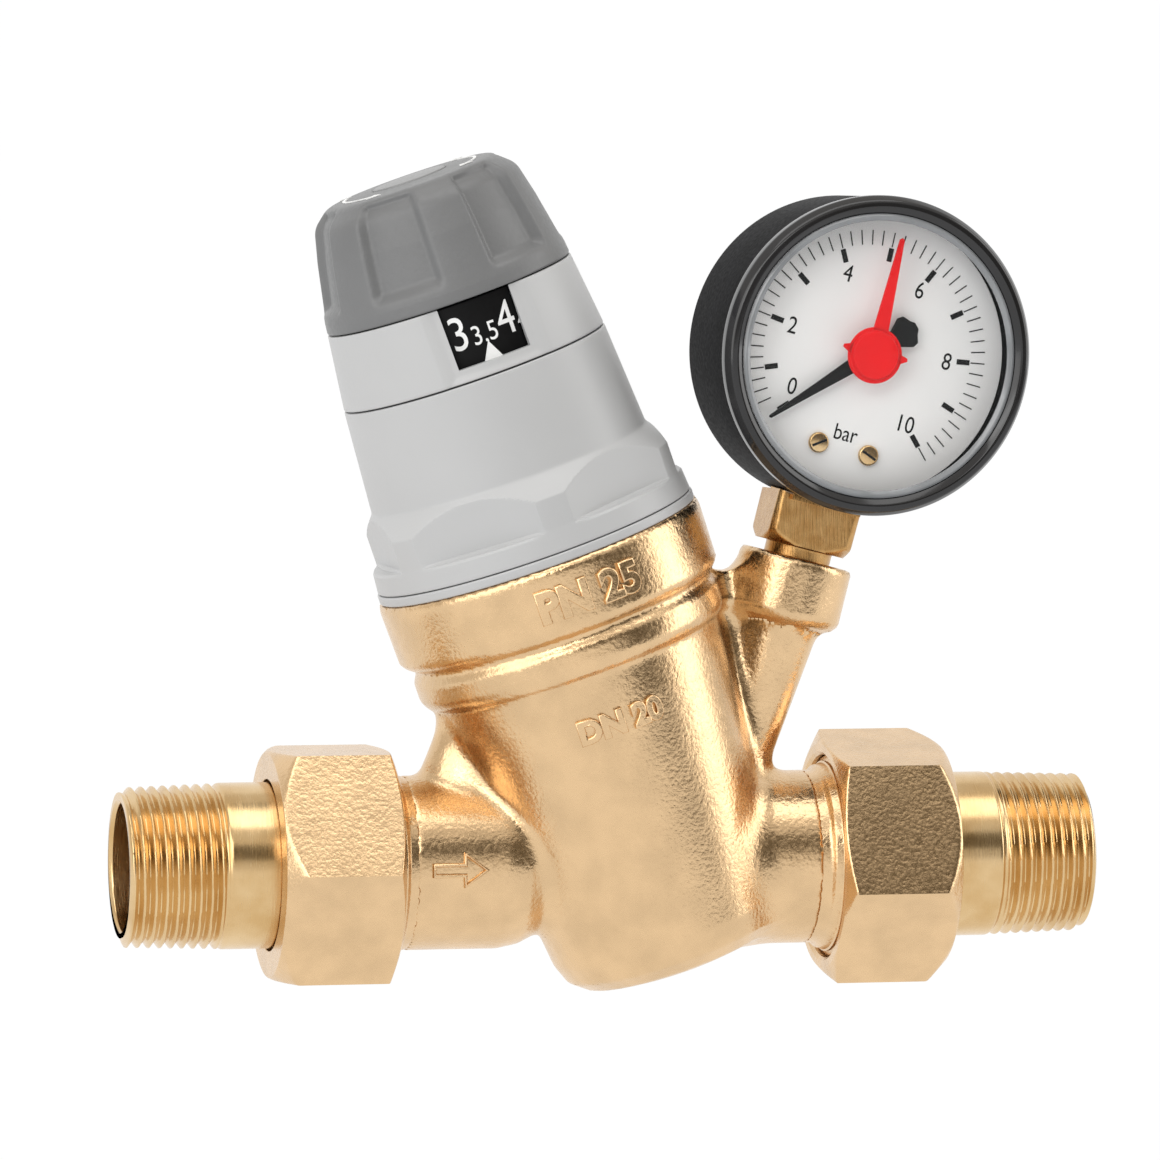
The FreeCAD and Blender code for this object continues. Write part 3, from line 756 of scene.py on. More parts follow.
def casting_field(low, high, step):
    """Distances to the forging: necks, sloped cup, inlet fairing, gauge port and its web, all filleted."""
    grid = np.meshgrid(*[np.arange(low[c], high[c], step) for c in range(3)], indexing="ij")
    neck = [(0, 46.4), (NECK_R, 46.4), (NECK_R, 61.5), (13.4, 65), (11.2, 69), (0, 74)]
    shoulder = taper_distance((61.5, 0, 0), 13.0, (57.2, 0, 24.0), 4.0, grid)
    ridge = taper_distance((55.9, 0, 8), 9.0, (57.4, 0, 23.4), 4.2, grid)
    fairing = blend_in(shoulder, ridge, 2.0)
    inlet = blend_in(turned_distance(neck, INLET, grid), fairing, 1.4)
    field = blend_in(turned_distance(CUP_OUTLINE, CUP, grid), inlet, 2.2)
    neck = [(0, 46.4), (NECK_R, 46.4), (NECK_R, 66), (0, 66)]
    field = blend_in(field, turned_distance(neck, OUTLET, grid), 3.4)
    boss = turned_distance(
        [(0, 0), (8.9, 0), (9.3, -0.6), (9.4, -9.2), (8.4, -10.4), (0, -11.4)], PORT, grid
    )
    top, foot = [PORT[:3, 3] / MM - PORT_UP * drop for drop in (11.5, 38.0)]
    port = blend_in(boss, taper_distance(top, 6.4, foot, 3.6, grid), 2.4)
    web = [(86, 45.8), (105, 47.0), (107, 38), (101.5, 9), (88, 8)]
    web = np.maximum(polygon_distance(web, grid[0], grid[2]), np.abs(grid[1]) - 1.8)
    field = blend_in(field, blend_in(port, web, 3.6), 3.6)
    hollows = [turned_distance(CUP_HOLLOW, CUP, grid)]
    hollows.append(turned_distance([(0, 20), (NECK_BORE_R, 20), (NECK_BORE_R, 80), (0, 80)], INLET, grid))
    hollows.append(turned_distance([(0, 20), (NECK_BORE_R, 20), (NECK_BORE_R, 54), (0, 54)], OUTLET, grid))
    hollows.append(turned_distance([(0, 2), (6.6, 2), (6.6, -11), (0, -11)], PORT, grid))
    for hollow in hollows:
        field = np.maximum(field, -hollow)
    return field


SPIGOT_PITCH = 2.309  # G 1


def spigot():
    """G 1 thread with its collar, machined on the end of a neck."""
    corners = [(NECK_BORE_R, 31.5, 0), (14.9, 31.5, 0), (15.4, 32.0, 0), (16.5, 33.0, 0), (16.5, 42.4, 0)]
    corners += [(15.6, 42.8, 0), (15.6, 43.3, 0), (15.3, 43.4, 0.2), (15.0, 44.6, 0.5), (14.3, 45.2, 0.8)]
    corners += [(13.9, 47.2, 0), (NECK_BORE_R, 47.2, 0)]
    outline = spaced(rounded(corners, 3), 0.24)

    def thread(a, r, z):
        tooth = np.abs(((z / SPIGOT_PITCH - a / (2 * math.pi)) % 1) * 2 - 1)
        cut = 1.15 * np.clip(tooth * 1.25 - 0.12, 0, 1)
        cut *= np.clip((42.5 - z) / 0.6, 0, 1) * (r > 15.0)
        return r - cut, z

    return lathe(outline, thread, 144)


def build_casting():
    """Body casting with machined spigots."""
    low, high, step = np.array((41.0, -29.5, -24.0)), (124.0, 29.5, 61.5), settings().skin_cell / MM
    verts, faces = skin(casting_field(low, high, step), low, step)
    body = place("body_casting_forged", verts, faces, WORLD, 50)
    ends = [place("spigot", *spigot(), matrix, 35) for matrix in (INLET, OUTLET)]
    body = merged("body_casting_forged", [body] + ends)
    finish(body, "valve_body", "cast_brass", finish_of("cast_brass"), "body_casting")


def cup_radius(height):
    """The cup's outside radius at a height below its rim."""
    points = sorted((z, r) for r, z in CUP_OUTLINE[1:-1])
    return np.interp(height, [z for z, _ in points], [r for _, r in points])


def build_cast_marks():
    """Raised marks of the forging: nominal size, pressure rating and flow arrow."""
    size = lettering("dn", "DN 20", 3.7, 0.55, bevel=0.25, weight=0.12, y=-1.8)
    rating = lettering("pn", "PN 25", 5.0, 0.55, bevel=0.28, weight=0.16, y=-2.5)
    size = wrapped(size, cup_radius, -91.0, -27.4, CUP)
    rating = wrapped(rating, cup_radius, -88.0, -5.6, CUP)
    outline = [(-4.2, -0.85), (0.9, -0.85), (0.9, -2.5), (4.4, 0), (0.9, 2.5), (0.9, 0.85), (-4.2, 0.85)]
    curve = bpy.data.curves.new("flow_arrow", "CURVE")
    curve.dimensions = "3D"
    spline = curve.splines.new("POLY")
    spline.points.add(len(outline) - 1)
    for point, (x, y) in zip(spline.points, outline):
        point.co = (x, y, 0.2, 1)
    spline.use_cyclic_u = True
    curve.bevel_depth = 0.45
    curve.bevel_resolution = 3
    holder = bpy.data.objects.new("flow_arrow", curve)
    bpy.context.scene.collection.objects.link(holder)
    graph = bpy.context.evaluated_depsgraph_get()
    arrow = bpy.data.objects.new(
        "flow_arrow_mesh", bpy.data.meshes.new_from_object(holder.evaluated_get(graph))
    )
    bpy.context.scene.collection.objects.link(arrow)
    bpy.data.objects.remove(holder)
    arrow = wrapped(arrow, lambda h: NECK_R + 0 * h, -90.0, 53.2, INLET, along=True)
    marks = merged("cast_marks", [size, rating, arrow])
    marks.data.shade_smooth()
    marks.data.set_sharp_from_angle(angle=math.radians(50))
    finish(marks, "valve_body", "cast_brass", finish_of("cast_brass"))


THREAD_PITCH = 1.8143
TAIL_CORNERS = [
    (10.37, 0.5, 0), (10.9, 0, 0), (12.1, 0, 0), (12.93, 0.8, 0), (13.4, 15.9, 0), (13.46, 16.6, 0)
]
TAIL_CORNERS += [(13.46, 26.5, 0), (14.9, 26.5, 0.2), (14.9, 29.5, 0.3), (10.37, 29.5, 0)]


def pipe_thread(a, r, z):
    """R 3/4 taper thread: V grooves that die out before the smooth part."""
    tooth = np.abs(((z / THREAD_PITCH - a / (2 * math.pi)) % 1) * 2 - 1)
    cut = np.clip(tooth * 1.22 - 0.11, 0, 1)
    cut *= np.clip((16.3 - z) / 1.2, 0, 1) * (r > 11.5)
    return r - cut, z


def build_tailpieces():
    """Taper-threaded tailpieces of both unions."""
    outline = spaced(rounded(TAIL_CORNERS, 3), 0.15)
    for side, matrix in (("inlet", INLET), ("outlet", OUTLET)):
        verts, faces = lathe(outline, pipe_thread, 256)
        tail = place(side + "_tail_threaded", verts, faces, matrix, 60)
        finish(tail, side + "_tail", "turned_brass", finish_of("turned_brass"), side + "_tailpiece")


def build_union_nuts():
    """Union nuts: hexagons with a long cone towards the tail and a short one towards the body."""
    corners = [
        (13.9, 24.2, 0.2), (18.2, 24.2, 0.5), (21.8, 27.6, 0.8), (21.8, 42.3, 0.4), (18.4, 43.7, 0.4)
    ]
    corners += [
        (17.15, 43.7, 0.1), (16.65, 43.2, 0), (16.65, 31, 0),
        (15.3, 30.8, 0), (15.3, 26.5, 0), (13.9, 26.5, 0)
    ]
    outline = spaced(rounded(corners, 5), 0.4)
    for side, matrix, corner in (("inlet", INLET, 30.0), ("outlet", OUTLET, 18.0)):

        def hexagonal(a, r, z):
            flat = hexagon_radius(a, settings().nut_flats / MM, corner)
            return np.where(r > 17.4, soft_min(r, flat, 0.5), r), z

        verts, faces = lathe(outline, hexagonal, 288, math.radians(corner))
        nut = place(side + "_nut_forged", verts, faces, matrix, 40)
        finish(nut, side + "_nut", "cast_brass", finish_of("cast_brass"), side + "_union_nut")


# ---------------------------------------------------------------- bonnet, window, drum and knob
WINDOW_HALF = 6.15  # half the window's width
WINDOW_LOW = 33.9
WINDOW_TOP = 44.1
SCALE_STEP = 24.0  # degrees of drum for each bar
SCALE_AT_REST = 3.5  # bar under the window's mark
DRUM_R = 19.4


def build_bonnet():
    """Bonnet: collar, wrench hexagon whose corners are turned off, shoulder and tapered barrel."""
    corners = [(19.5, 1.75, 0), (26.75, 1.75, 0.25), (26.45, 5.3, 0.3), (26.42, 5.5, 0), (26.4, 10.6, 0.5)]
    corners += [
        (25.4, 11.9, 0.5), (23.45, 14.4, 1.2), (22.25, 31.5, 0.25),
        (18.0, 31.5, 0), (18.0, 5.5, 0), (19.5, 4.0, 0)
    ]
    outline = spaced(rounded(corners, 4), 0.35)

    def wrench_flats(a, r, z):
        flat = soft_min(r, hexagon_radius(a, settings().bonnet_flats / MM, 90.0), 0.12)
        ledge = np.clip((z - 5.25) / 0.35, 0, 1)
        return np.where((r > 20) & (z < 15), r * (1 - ledge) + flat * ledge, r), z

    verts, faces = lathe(outline, wrench_flats, 384)
    bonnet = place("bonnet_moulded", verts, faces, CUP, 14)
    spigot_ring = turned(
        "bonnet_spigot", [(19.5, -6, 0), (23.9, -6, 0.3), (23.9, 1.8, 0), (19.5, 1.8, 0)], CUP, steps=144
    )
    bonnet = merged("bonnet_moulded", [bonnet, spigot_ring])
    finish(bonnet, "valve_body", "light_grey_plastic", finish_of("light_grey_plastic"), "bonnet")
    ring = turned(
        "flange_band",
        [(24.05, 0.02, 0), (26.95, 0.02, 0.3), (26.95, 1.6, 0.3), (24.05, 1.6, 0)], CUP, steps=256
    )
    finish(
        ring, "valve_body", "light_grey_plastic", finish_of("light_grey_plastic"), "cartridge_flange_ring"
    )


def build_window_ring():
    """Scale housing with its bevelled window."""
    corners = [(18.0, 31.75, 0), (22.2, 31.75, 0.25), (20.72, WINDOW_TOP, 0.2), (19.7, WINDOW_TOP, 0)]
    corners += [(19.7, 33.0, 0), (18.0, 33.0, 0)]
    outline = spaced(rounded(corners, 4), 0.3)

    def bevel(a, r, z):
        x = r * np.sin(a + math.pi / 2)
        front = np.cos(a + math.pi / 2) > 0
        rim = np.maximum(np.abs(x) - WINDOW_HALF, WINDOW_LOW - z)
        slope = np.clip((3.0 - rim) / 2.0, 0, 1)
        return np.where(front, r - 0.55 * slope * np.clip(r - 19.7, 0, 1), r), z

    verts, faces = lathe(outline, bevel, 432)
    ring = place("window_ring_moulded", verts, faces, CUP, 30)
    cutter = block("window_cutter", (-WINDOW_HALF, -25, WINDOW_LOW), (WINDOW_HALF, -17, 47), CUP)
    cut = ring.modifiers.new("window", "BOOLEAN")
    cut.object, cut.solver = cutter, "EXACT"
    graph = bpy.context.evaluated_depsgraph_get()
    mesh = bpy.data.meshes.new_from_object(ring.evaluated_get(graph))
    ring.modifiers.remove(cut)
    ring.data = mesh
    bpy.data.objects.remove(cutter)
    mesh.name = "window_ring_moulded"
    mesh.shade_smooth()
    mesh.set_sharp_from_angle(angle=math.radians(30))
    floor = turned(
        "window_floor", [(5.1, 31.72, 0), (18.2, 31.72, 0), (18.2, 33.0, 0), (5.1, 33.0, 0)], CUP, steps=96
    )
    ring = merged("window_ring_moulded", [ring, floor])
    finish(ring, "valve_body", "light_grey_plastic", finish_of("light_grey_plastic"), "window_ring")
    mark = plate("window_mark", [(-1.55, -1.5), (1.55, -1.5), (0.0, 1.5)], 0.0, 0.35)
    mark = wrapped(mark, lambda h: 19.6 + 0 * h, -90.0, WINDOW_LOW + 1.4, CUP)
    finish(mark, "valve_body", "dial_enamel", finish_of("white_ink"))


def build_drum():
    """Scale drum with its figures."""
    corners = [(18.0, 33.3, 0), (DRUM_R, 33.3, 0.2), (DRUM_R, 44.0, 0.2), (5.02, 44.0, 0), (5.02, 42.6, 0)]
    corners.append((18.0, 42.6, 0))
    drum = turned("scale_drum_moulded", corners, CUP, steps=256)
    finish(drum, "knob_set", "black_drum_plastic", finish_of("black_drum_plastic"), "scale_drum")
    figures = []
    for half_bars in range(2, 13):
        value = half_bars / 2
        whole = half_bars % 2 == 0
        words = "%d" % value if whole else "%d,5" % value
        tall = settings().scale_figure / MM * (1 if whole else 0.57)
        figure = lettering("figure", words, tall, 0.02, y=0.0, z=0.05, narrow=0.84)
        angle = -90.0 + (value - SCALE_AT_REST) * SCALE_STEP
        figures.append(wrapped(figure, lambda h: DRUM_R + 0 * h, angle, 36.7, CUP))
    figures = merged("scale_figures", figures)
    finish(figures, "knob_set", "dial_enamel", finish_of("white_ink"))


KNOB_LOW = 44.3
ARROW_R = 11.2
INK = (63.72, 63.86)  # underside and top of the printed arrows
FINGER_AT = -118.5  # middle of one finger recess


def build_knob():
    """Knob with six finger recesses, its cover disc and turning marks."""
    corners = [
        (18.7, KNOB_LOW, 0), (20.7, KNOB_LOW, 0.35), (20.5, 46.2, 1.5), (18.7, 55.4, 3.0), (17.3, 61.0, 3.8)
    ]
    corners += [
        (14.2, 63.6, 3.4), (6.25, 63.9, 0.3), (6.2, 63.0, 0),
        (5.2, 63.0, 0), (5.2, 57.05, 0), (4.02, 57.05, 0)
    ]
    corners += [(4.02, 46.0, 0), (5.6, 46.0, 0), (5.6, 60.0, 0), (14.5, 60.0, 1.0), (16.4, 56.0, 1.0)]
    outline = spaced(rounded(corners, 6), 0.4)

    def fingers(a, r, z):
        third = math.pi / 3
        off = np.abs((a - math.radians(FINGER_AT) + third / 2) % third - third / 2)
        across = np.clip((math.radians(19.0) - off) / math.radians(5.0), 0, 1)
        low = np.clip((z - 47.2) / 1.8, 0, 1)
        top = np.clip((63.8 - z) / 1.6, 0, 1)
        rim = across * across * (3 - 2 * across)
        rim = rim * low * low * (3 - 2 * low) * top * top * (3 - 2 * top)
        return np.where(r > 13.4, r - 1.5 * rim * np.clip((r - 13.4) / 2.6, 0, 1) * (z > 46.5), r), z

    verts, faces = lathe(outline, fingers, 360)
    knob = place("knob_moulded", verts, faces, CUP, 45)
    finish(knob, "knob_set", "dark_grey_plastic", finish_of("dark_grey_plastic"), "knob")
    disc = turned(
        "knob_disc", [(0, 63.05, 0), (6.12, 63.05, 0), (6.12, 64.1, 0.25), (0, 64.2, 0)], CUP, steps=96
    )
    finish(disc, "knob_set", "insert_grey_plastic", finish_of("insert_grey_plastic"), "knob_insert")


def build_knob_marks():
    """White arcs with heads and signs that show which way raises the pressure."""
    marks = []
    for side, start, end in ((-1, 150.0, 222.0), (1, 30.0, -42.0)):
        marks.append(plate("turn_band", arc_band(ARROW_R, 0.5, start, end), *INK))
        tip = math.radians(end)
        along = np.array((-math.sin(tip), math.cos(tip))) * (1 if end > start else -1)
        out = np.array((math.cos(tip), math.sin(tip)))
        head = [out * ARROW_R + along * 2.2, out * (ARROW_R + 1.3), out * (ARROW_R - 1.3)]
        head = head if side < 0 else head[::-1]
        marks.append(plate("turn_head", [tuple(p) for p in head], *INK))
        spot = math.radians(start)
        x, y = ARROW_R * math.cos(spot), ARROW_R * math.sin(spot) + 1.6
        stroke = [(x - 1, y - 0.2), (x + 1, y - 0.2), (x + 1, y + 0.2), (x - 1, y + 0.2)]
        marks.append(plate("turn_sign", stroke, *INK))
        if side > 0:
            upright = [(x - 0.2, y - 1), (x + 0.2, y - 1), (x + 0.2, y + 1), (x - 0.2, y + 1)]
            marks.append(plate("turn_sign", upright, *INK))
    marks = [laid(mark, CUP) for mark in marks]
    marks = merged("knob_marks", marks)
    finish(marks, "knob_set", "dial_enamel", finish_of("white_ink"))


def build_spring():
    """Main spring under the bonnet."""
    material = finish_of("spring_steel")
    matrix = CUP.copy()
    matrix[:3, 3] = CUP_AT + CUP_UP * (-5.0 + 1.75) * MM
    spring = baked("main_spring_coiled", spring_tree(material), matrix, (("Rise", 23.5),))
    finish(spring, "valve_body", "spring_steel", material, "main_spring")


# ---------------------------------------------------------------- gauge
SQUARE_TURN = math.radians(5.0)


def build_gauge_stem():
    """Threaded end, undercut and square of the gauge's stem."""
    corners = [
        (0, -9.5, 0), (5.9, -9.5, 0), (6.5, -8.9, 0), (6.5, -1.2, 0), (5.5, -0.6, 0), (5.5, 1.8, 0.2)
    ]
    corners += [(7.4, 1.8, 0.3), (9.3, 3.3, 1.0), (9.5, 9.3, 0), (0, 9.3, 0)]
    outline = spaced(rounded(corners, 4), 0.35, False)

    def square(a, r, z):
        side = 7.1 / np.cos((a + SQUARE_TURN + math.pi / 4) % (math.pi / 2) - math.pi / 4)
        r = np.where(z > 1.85, soft_min(r, side, 0.3), r)
        under_case = DIAL_RISE - np.sqrt(25.85**2 - (r * np.cos(a)) ** 2)
        return r, np.where(z > 9.2, under_case, z)

    verts, faces = lathe(outline, square, 240)
    stem = place("gauge_square", verts, faces, PORT, 40)
    stem = merged("gauge_square", [stem, block("gauge_socket", (-6, -8.4, 9.0), (6, 4, 21.8), PORT)])
    finish(stem, "valve_body", "turned_brass", finish_of("drawn_brass"), "gauge_stem")


def build_gauge_case():
    """Case, bezel ring and window."""
    corners = [(0, -9.5, 0), (24.2, -9.5, 1.2), (25.2, -7.5, 0.8), (25.75, 12.35, 0.3), (24.3, 12.35, 0)]
    corners += [(24.0, 8.0, 0), (23.6, -7.5, 0), (0, -7.5, 0)]
    case = turned("gauge_case_moulded", corners, DIAL, steps=256)
    finish(case, "valve_body", "gauge_case_plastic", finish_of("gauge_case_plastic"), "gauge_case")
    corners = [(24.4, 12.5, 0), (25.95, 12.5, 0.2), (26.0, 14.4, 1.0), (25.2, 15.8, 0.8), (24.2, 16.0, 0.6)]
    corners += [(23.2, 15.3, 0.3), (23.0, 14.9, 0), (24.4, 14.9, 0)]
    ring = turned("bezel_polished", corners, DIAL, steps=256)
    finish(ring, "valve_body", "gauge_bezel_plastic", finish_of("gauge_bezel_plastic"), "bezel_ring")
    corners = [
        (21.9, 14.95, 0), (22.95, 14.95, 0), (23.1, 15.25, 0.1), (22.6, 15.6, 0.25), (21.95, 15.2, 0.1)
    ]
    lip = turned("bezel_lip", corners, DIAL, steps=256)
    # the lip's silvery grey finish is painted light
    finish(lip, "valve_body", "gauge_bezel_plastic", finish_of("bezel_lip"))
    corners = [(0, 13.7, 0), (24.2, 13.7, 0), (24.2, 14.5, 0.2), (0, 14.7, 0)]
    window = turned("gauge_window_clear", corners, DIAL, steps=192)
    finish(window, "valve_body", "clear_plastic", finish_of("clear_plastic"), "gauge_window")


def build_dial():
    """Dial sheet with its printed marks and figures; its two screws are built by build_dial_screws."""
    corners = [(1.6, 8.6, 0), (23.2, 8.6, 0), (23.2, 9.0, 0.1), (1.6, 9.0, 0)]
    dial = turned("dial_sheet", corners, DIAL, steps=192)
    finish(dial, "valve_body", "dial_enamel", finish_of("dial_enamel"), "gauge_dial")
    ink = finish_of("pointer_black")
    tree = marks_tree(ink)
    minor = (
        ("Count", 49), ("Start", -127.5), ("Step", 5.472),
        ("Radius", 19.0), ("Width", 0.18), ("Length", 2.4)
    )
    major = (
        ("Count", 10), ("Start", -111.1), ("Step", 27.36),
        ("Radius", 16.5), ("Width", 0.85), ("Length", 2.2)
    )
    zero = (("Count", 1), ("Radius", 16.5), ("Width", 0.85), ("Length", 2.2))
    print_parts = [baked("dial_marks", tree, np.eye(4), values) for values in (minor, major, zero)]
    tall = settings().dial_figure / MM
    for bar in range(0, 11, 2):
        angle = math.radians(-138.4 + 27.36 * bar + (0 if bar else 12.5))  # 0 stands clear of the pointer
        reach = 13.1 if bar == 10 else 13.7
        x, y = reach * math.sin(angle), reach * math.cos(angle)
        print_parts.append(lettering("figure", str(bar), tall, 0.02, x, y - tall / 2, 9.03, narrow=0.85))
    print_parts.append(lettering("unit", "bar", 2.7, 0.02, -0.2, -14.6, 9.03, narrow=0.85))
    print_parts = [laid(part, DIAL) for part in print_parts]
    marks = merged("dial_print", print_parts)
    finish(marks, "valve_body", "pointer_black", ink)


def build_dial_screws():
    """Brass cheese-head screws that hold the dial."""
    ink = finish_of("pointer_black")
    outline = rounded(
        [(0, 5, 0), (0.95, 5, 0), (0.95, 9.0, 0), (1.7, 9.0, 0.1), (1.7, 9.7, 0.35), (0, 9.9, 0)]
    )
    heads, slots = [], []
    for x, turn in ((-4.4, 35.0), (4.4, -20.0)):
        verts, faces = lathe(outline, None, 48)
        heads.append(place("dial_screw_heads", verts + (x, -15.9, 0), faces, DIAL, 35))
        slot = plate("dial_screw_slots", [(-1.3, -0.2), (1.3, -0.2), (1.3, 0.2), (-1.3, 0.2)], 9.86, 9.9)
        slots.append(laid(slot, DIAL @ spun(turn, x, -15.9)))
    heads = merged("dial_screw_heads", heads)
    finish(heads, "valve_body", "turned_brass", finish_of("turned_brass"), "dial_screws")
    finish(merged("dial_screw_slots", slots), "valve_body", "pointer_black", ink)


def spun(turn, x=0.0, y=0.0):
    """A turn about local Z, in degrees, then a shift in millimetres."""
    c, s = math.cos(math.radians(turn)), math.sin(math.radians(turn))
    matrix = np.eye(4)
    matrix[:2, :2] = ((c, -s), (s, c))
    matrix[:2, 3] = x, y
    return matrix


def hand(name, half, hub, low, high, turn, cap=0.0):
    """A flat hand with a round hub, pointing turn degrees anticlockwise from dial-up."""
    outline = half + [(-x, y) for x, y in reversed(half)]
    blade = plate(name, outline, low, high)
    corners = [
        (0, low, 0), (hub, low, 0), (hub, high, 0.1), (hub - 0.5, high, 0.1), (hub - 0.8, high + cap, 0.2)
    ]
    corners.append((0, high + cap, 0))
    boss = turned(name, corners, np.eye(4), steps=96)
    blade = merged(name, [blade, boss])
    return laid(blade, DIAL @ spun(turn))


def build_hands():
    """Black pointer with its spade tail, and the red set hand."""
    half = [
        (0.0, 19.8), (0.25, 19.6), (0.7, 11.0), (1.25, 2.0),
        (0.8, -3.0), (1.3, -4.6), (2.7, -6.9), (2.5, -7.9)
    ]
    half += [(1.3, -8.5), (0.6, -9.1)]
    pointer = hand("pointer_black", half, 2.2, 10.2, 10.7, 135.0, 0.2)
    finish(pointer, "gauge_pointer", "pointer_black", finish_of("pointer_black"), "pointer")
    half = [(0.0, 19.5), (0.4, 19.2), (1.25, 4.6), (1.2, 2.0), (5.5, 0.7), (5.6, 0.2), (3.8, -0.8)]
    setter = hand("set_hand_red", half, 4.6, 12.6, 13.0, 1.2, 0.6)
    finish(setter, "gauge_set_hand", "set_hand_red", finish_of("set_hand_red"), "set_hand")


# ---------------------------------------------------------------- inner pieces, stage and camera
def finish_inner_pieces():
    """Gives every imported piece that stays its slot's finish."""
    slot_of = {row["node"]: row["material_slot"] for row in frame["record"]["subparts"]}
    for node, obj in frame["nodes"].items():
        if obj.hide_render:
            continue
        obj.data.materials.clear()
        obj.data.materials.append(finish_of(slot_of[node]))


CAMERA_AZIMUTH, CAMERA_RISE, CAMERA_ROLL = 12.2, 3.5, 0.2
CAMERA_DISTANCE = 1.35
LENS = 257.586  # millimetres, on a 36 mm sensor
LOOK_AT = np.array((0.0758, 0.0, 0.0457))
FLOOR = -0.0245
FLAG_AXES = ((0.8, 0.6, 0.0), (-0.6, 0.8, 0.0), (0.0, 0.0, 1.0))


def sweep_paper():
    """Back-lit white acrylic: even white under and behind the object."""
    return surface(
        "back-lit acrylic", "#1A1A1A", "#161616", 300.0, 0.8, 0.05, [(3.0, 0.01)],
        **{"Emission Color": (1, 1, 1, 1), "Emission Strength": 1.0, "Specular IOR Level": 0.0},
    )


def flag_cloth():
    """Black cloth of the flags that give the brass its dark bands. The cloth also glows faintly warm, a painted
    light in those bands.
    """
    return surface(
        "black flag cloth", "#0A0A0A", "#060606", 20.0, 0.9, 0.05, [(1.0, 0.1)],
        **{"Emission Color": (1, 0.82, 0.55, 1), "Emission Strength": 0.1},
    )


def build_sweep():
    """White sweep and the two black flags."""
    sweep = [(-3.0, FLOOR), (1.2, FLOOR)]
    turns = np.linspace(0.1, math.pi / 2, 12)
    sweep += [(1.2 + 0.8 * math.sin(t), FLOOR + 0.8 - 0.8 * math.cos(t)) for t in turns]
    sweep.append((2.0, 3.0))
    verts = [(x, y, z) for x in (-3.0, 3.0) for y, z in sweep]
    n = len(sweep)
    mesh = bpy.data.meshes.new("studio_sweep")
    mesh.from_pydata(verts, [], [(k, n + k, n + k + 1, k + 1) for k in range(n - 1)])
    mesh.shade_smooth()
    floor = bpy.data.objects.new("studio_sweep", mesh)
    bpy.context.scene.collection.objects.link(floor)
    mesh.materials.append(sweep_paper())
    cloth = flag_cloth()
    for name, low, high, matrix in (
        ("side_flag", (260, -10, 5), (560, 10, 330), axes((0.08, -0.62, FLOOR), *FLAG_AXES)),
        ("front_flag", (-20, -370, 80), (250, -360, 240), WORLD),
    ):
        flag = block(name, low, high, matrix)
        flag.data.materials.append(cloth)
        flag.visible_camera = False


def build_lights():
    """Four softboxes in a pale room."""
    world = bpy.data.worlds.new("studio")
    bpy.context.scene.world = world
    world.use_nodes = True
    world.node_tree.nodes["Background"].inputs[0].default_value = (1.0, 0.96, 0.9, 1)
    world.node_tree.nodes["Background"].inputs[1].default_value = 0.75
    for name, spot, size, power in (
        ("left", (-0.85, -0.55, 0.35), (0.9, 1.0), 4.6),
        ("right", (0.95, -0.12, 0.3), (0.45, 0.9), 2.6),
        ("front", (-0.3, -1.0, 0.55), (0.8, 0.5), 3.0),
        ("top", (0.05, -0.25, 1.0), (1.1, 0.6), 3.6),
    ):
        light = bpy.data.lights.new(name, "AREA")
        light.shape, light.size, light.size_y, light.energy = "RECTANGLE", size[0], size[1], power
        lamp = bpy.data.objects.new(name, light)
        bpy.context.scene.collection.objects.link(lamp)
        lamp.location = spot
        lamp.rotation_euler = (Vector((0.08, 0, 0.045)) - Vector(spot)).to_track_quat("-Z", "Y").to_euler()


def build_camera():
    """Camera a little above the pipe, to the left of square on."""
    a, e = math.radians(CAMERA_AZIMUTH), math.radians(CAMERA_RISE)
    back = np.array((-math.sin(a) * math.cos(e), -math.cos(a) * math.cos(e), math.sin(e)))
    camera = bpy.data.objects.new("camera", bpy.data.cameras.new("camera"))
    bpy.context.scene.collection.objects.link(camera)
    camera.data.sensor_width = 36.0
    camera.data.lens = LENS
    camera.data.clip_end = 20.0
    camera.location = LOOK_AT + back * CAMERA_DISTANCE
    aim = (Vector(LOOK_AT) - camera.location).to_track_quat("-Z", "Y")
    camera.rotation_euler = aim.to_euler()
    camera.rotation_euler.rotate_axis("Z", math.radians(CAMERA_ROLL))
    bpy.context.scene.camera = camera
    bpy.context.scene.view_settings.view_transform = "Standard"


# ---------------------------------------------------------------- add-on
class ValveSettings(bpy.types.PropertyGroup):
    """Sizes and colours that a user would change."""

    brass: FloatVectorProperty(
        name="Brass", description="Colour of the forged brass", subtype="COLOR", size=4, min=0, max=1,
        default=linear("#E6C498"),
    )
    cover: FloatVectorProperty(
        name="Cover grey", description="Colour of the bonnet and the window ring", subtype="COLOR", size=4,
        min=0, max=1, default=linear("#B5B6B7"),
    )
    cap: FloatVectorProperty(
        name="Knob grey", description="Colour of the knob", subtype="COLOR", size=4, min=0, max=1,
        default=linear("#6D6E6F"),
    )
    marker: FloatVectorProperty(
        name="Set hand red", description="Colour of the gauge's set hand",
        subtype="COLOR", size=4, min=0, max=1,
        default=linear("#EA0F16"),
    )
    nut_flats: FloatProperty(
        name="Union nut", description="Union nut across its flats", unit="LENGTH", min=0.03, default=0.037
    )
    bonnet_flats: FloatProperty(
        name="Bonnet hexagon", description="Bonnet across its flats", unit="LENGTH", min=0.04, default=0.048
    )
    dial_figure: FloatProperty(
        name="Dial figures", description="Height of the dial's figures",
        unit="LENGTH", min=0.001, default=0.0029
    )
    scale_figure: FloatProperty(
        name="Scale figures", description="Height of the drum's large figures", unit="LENGTH", min=0.002,
        default=0.0057,
    )
    skin_cell: FloatProperty(
        name="Casting detail", description="Cell size of the casting's surface", unit="LENGTH", min=0.0004,
        default=0.00056,
    )


def settings():
    """The scene's valve settings."""
    return bpy.context.scene.valve


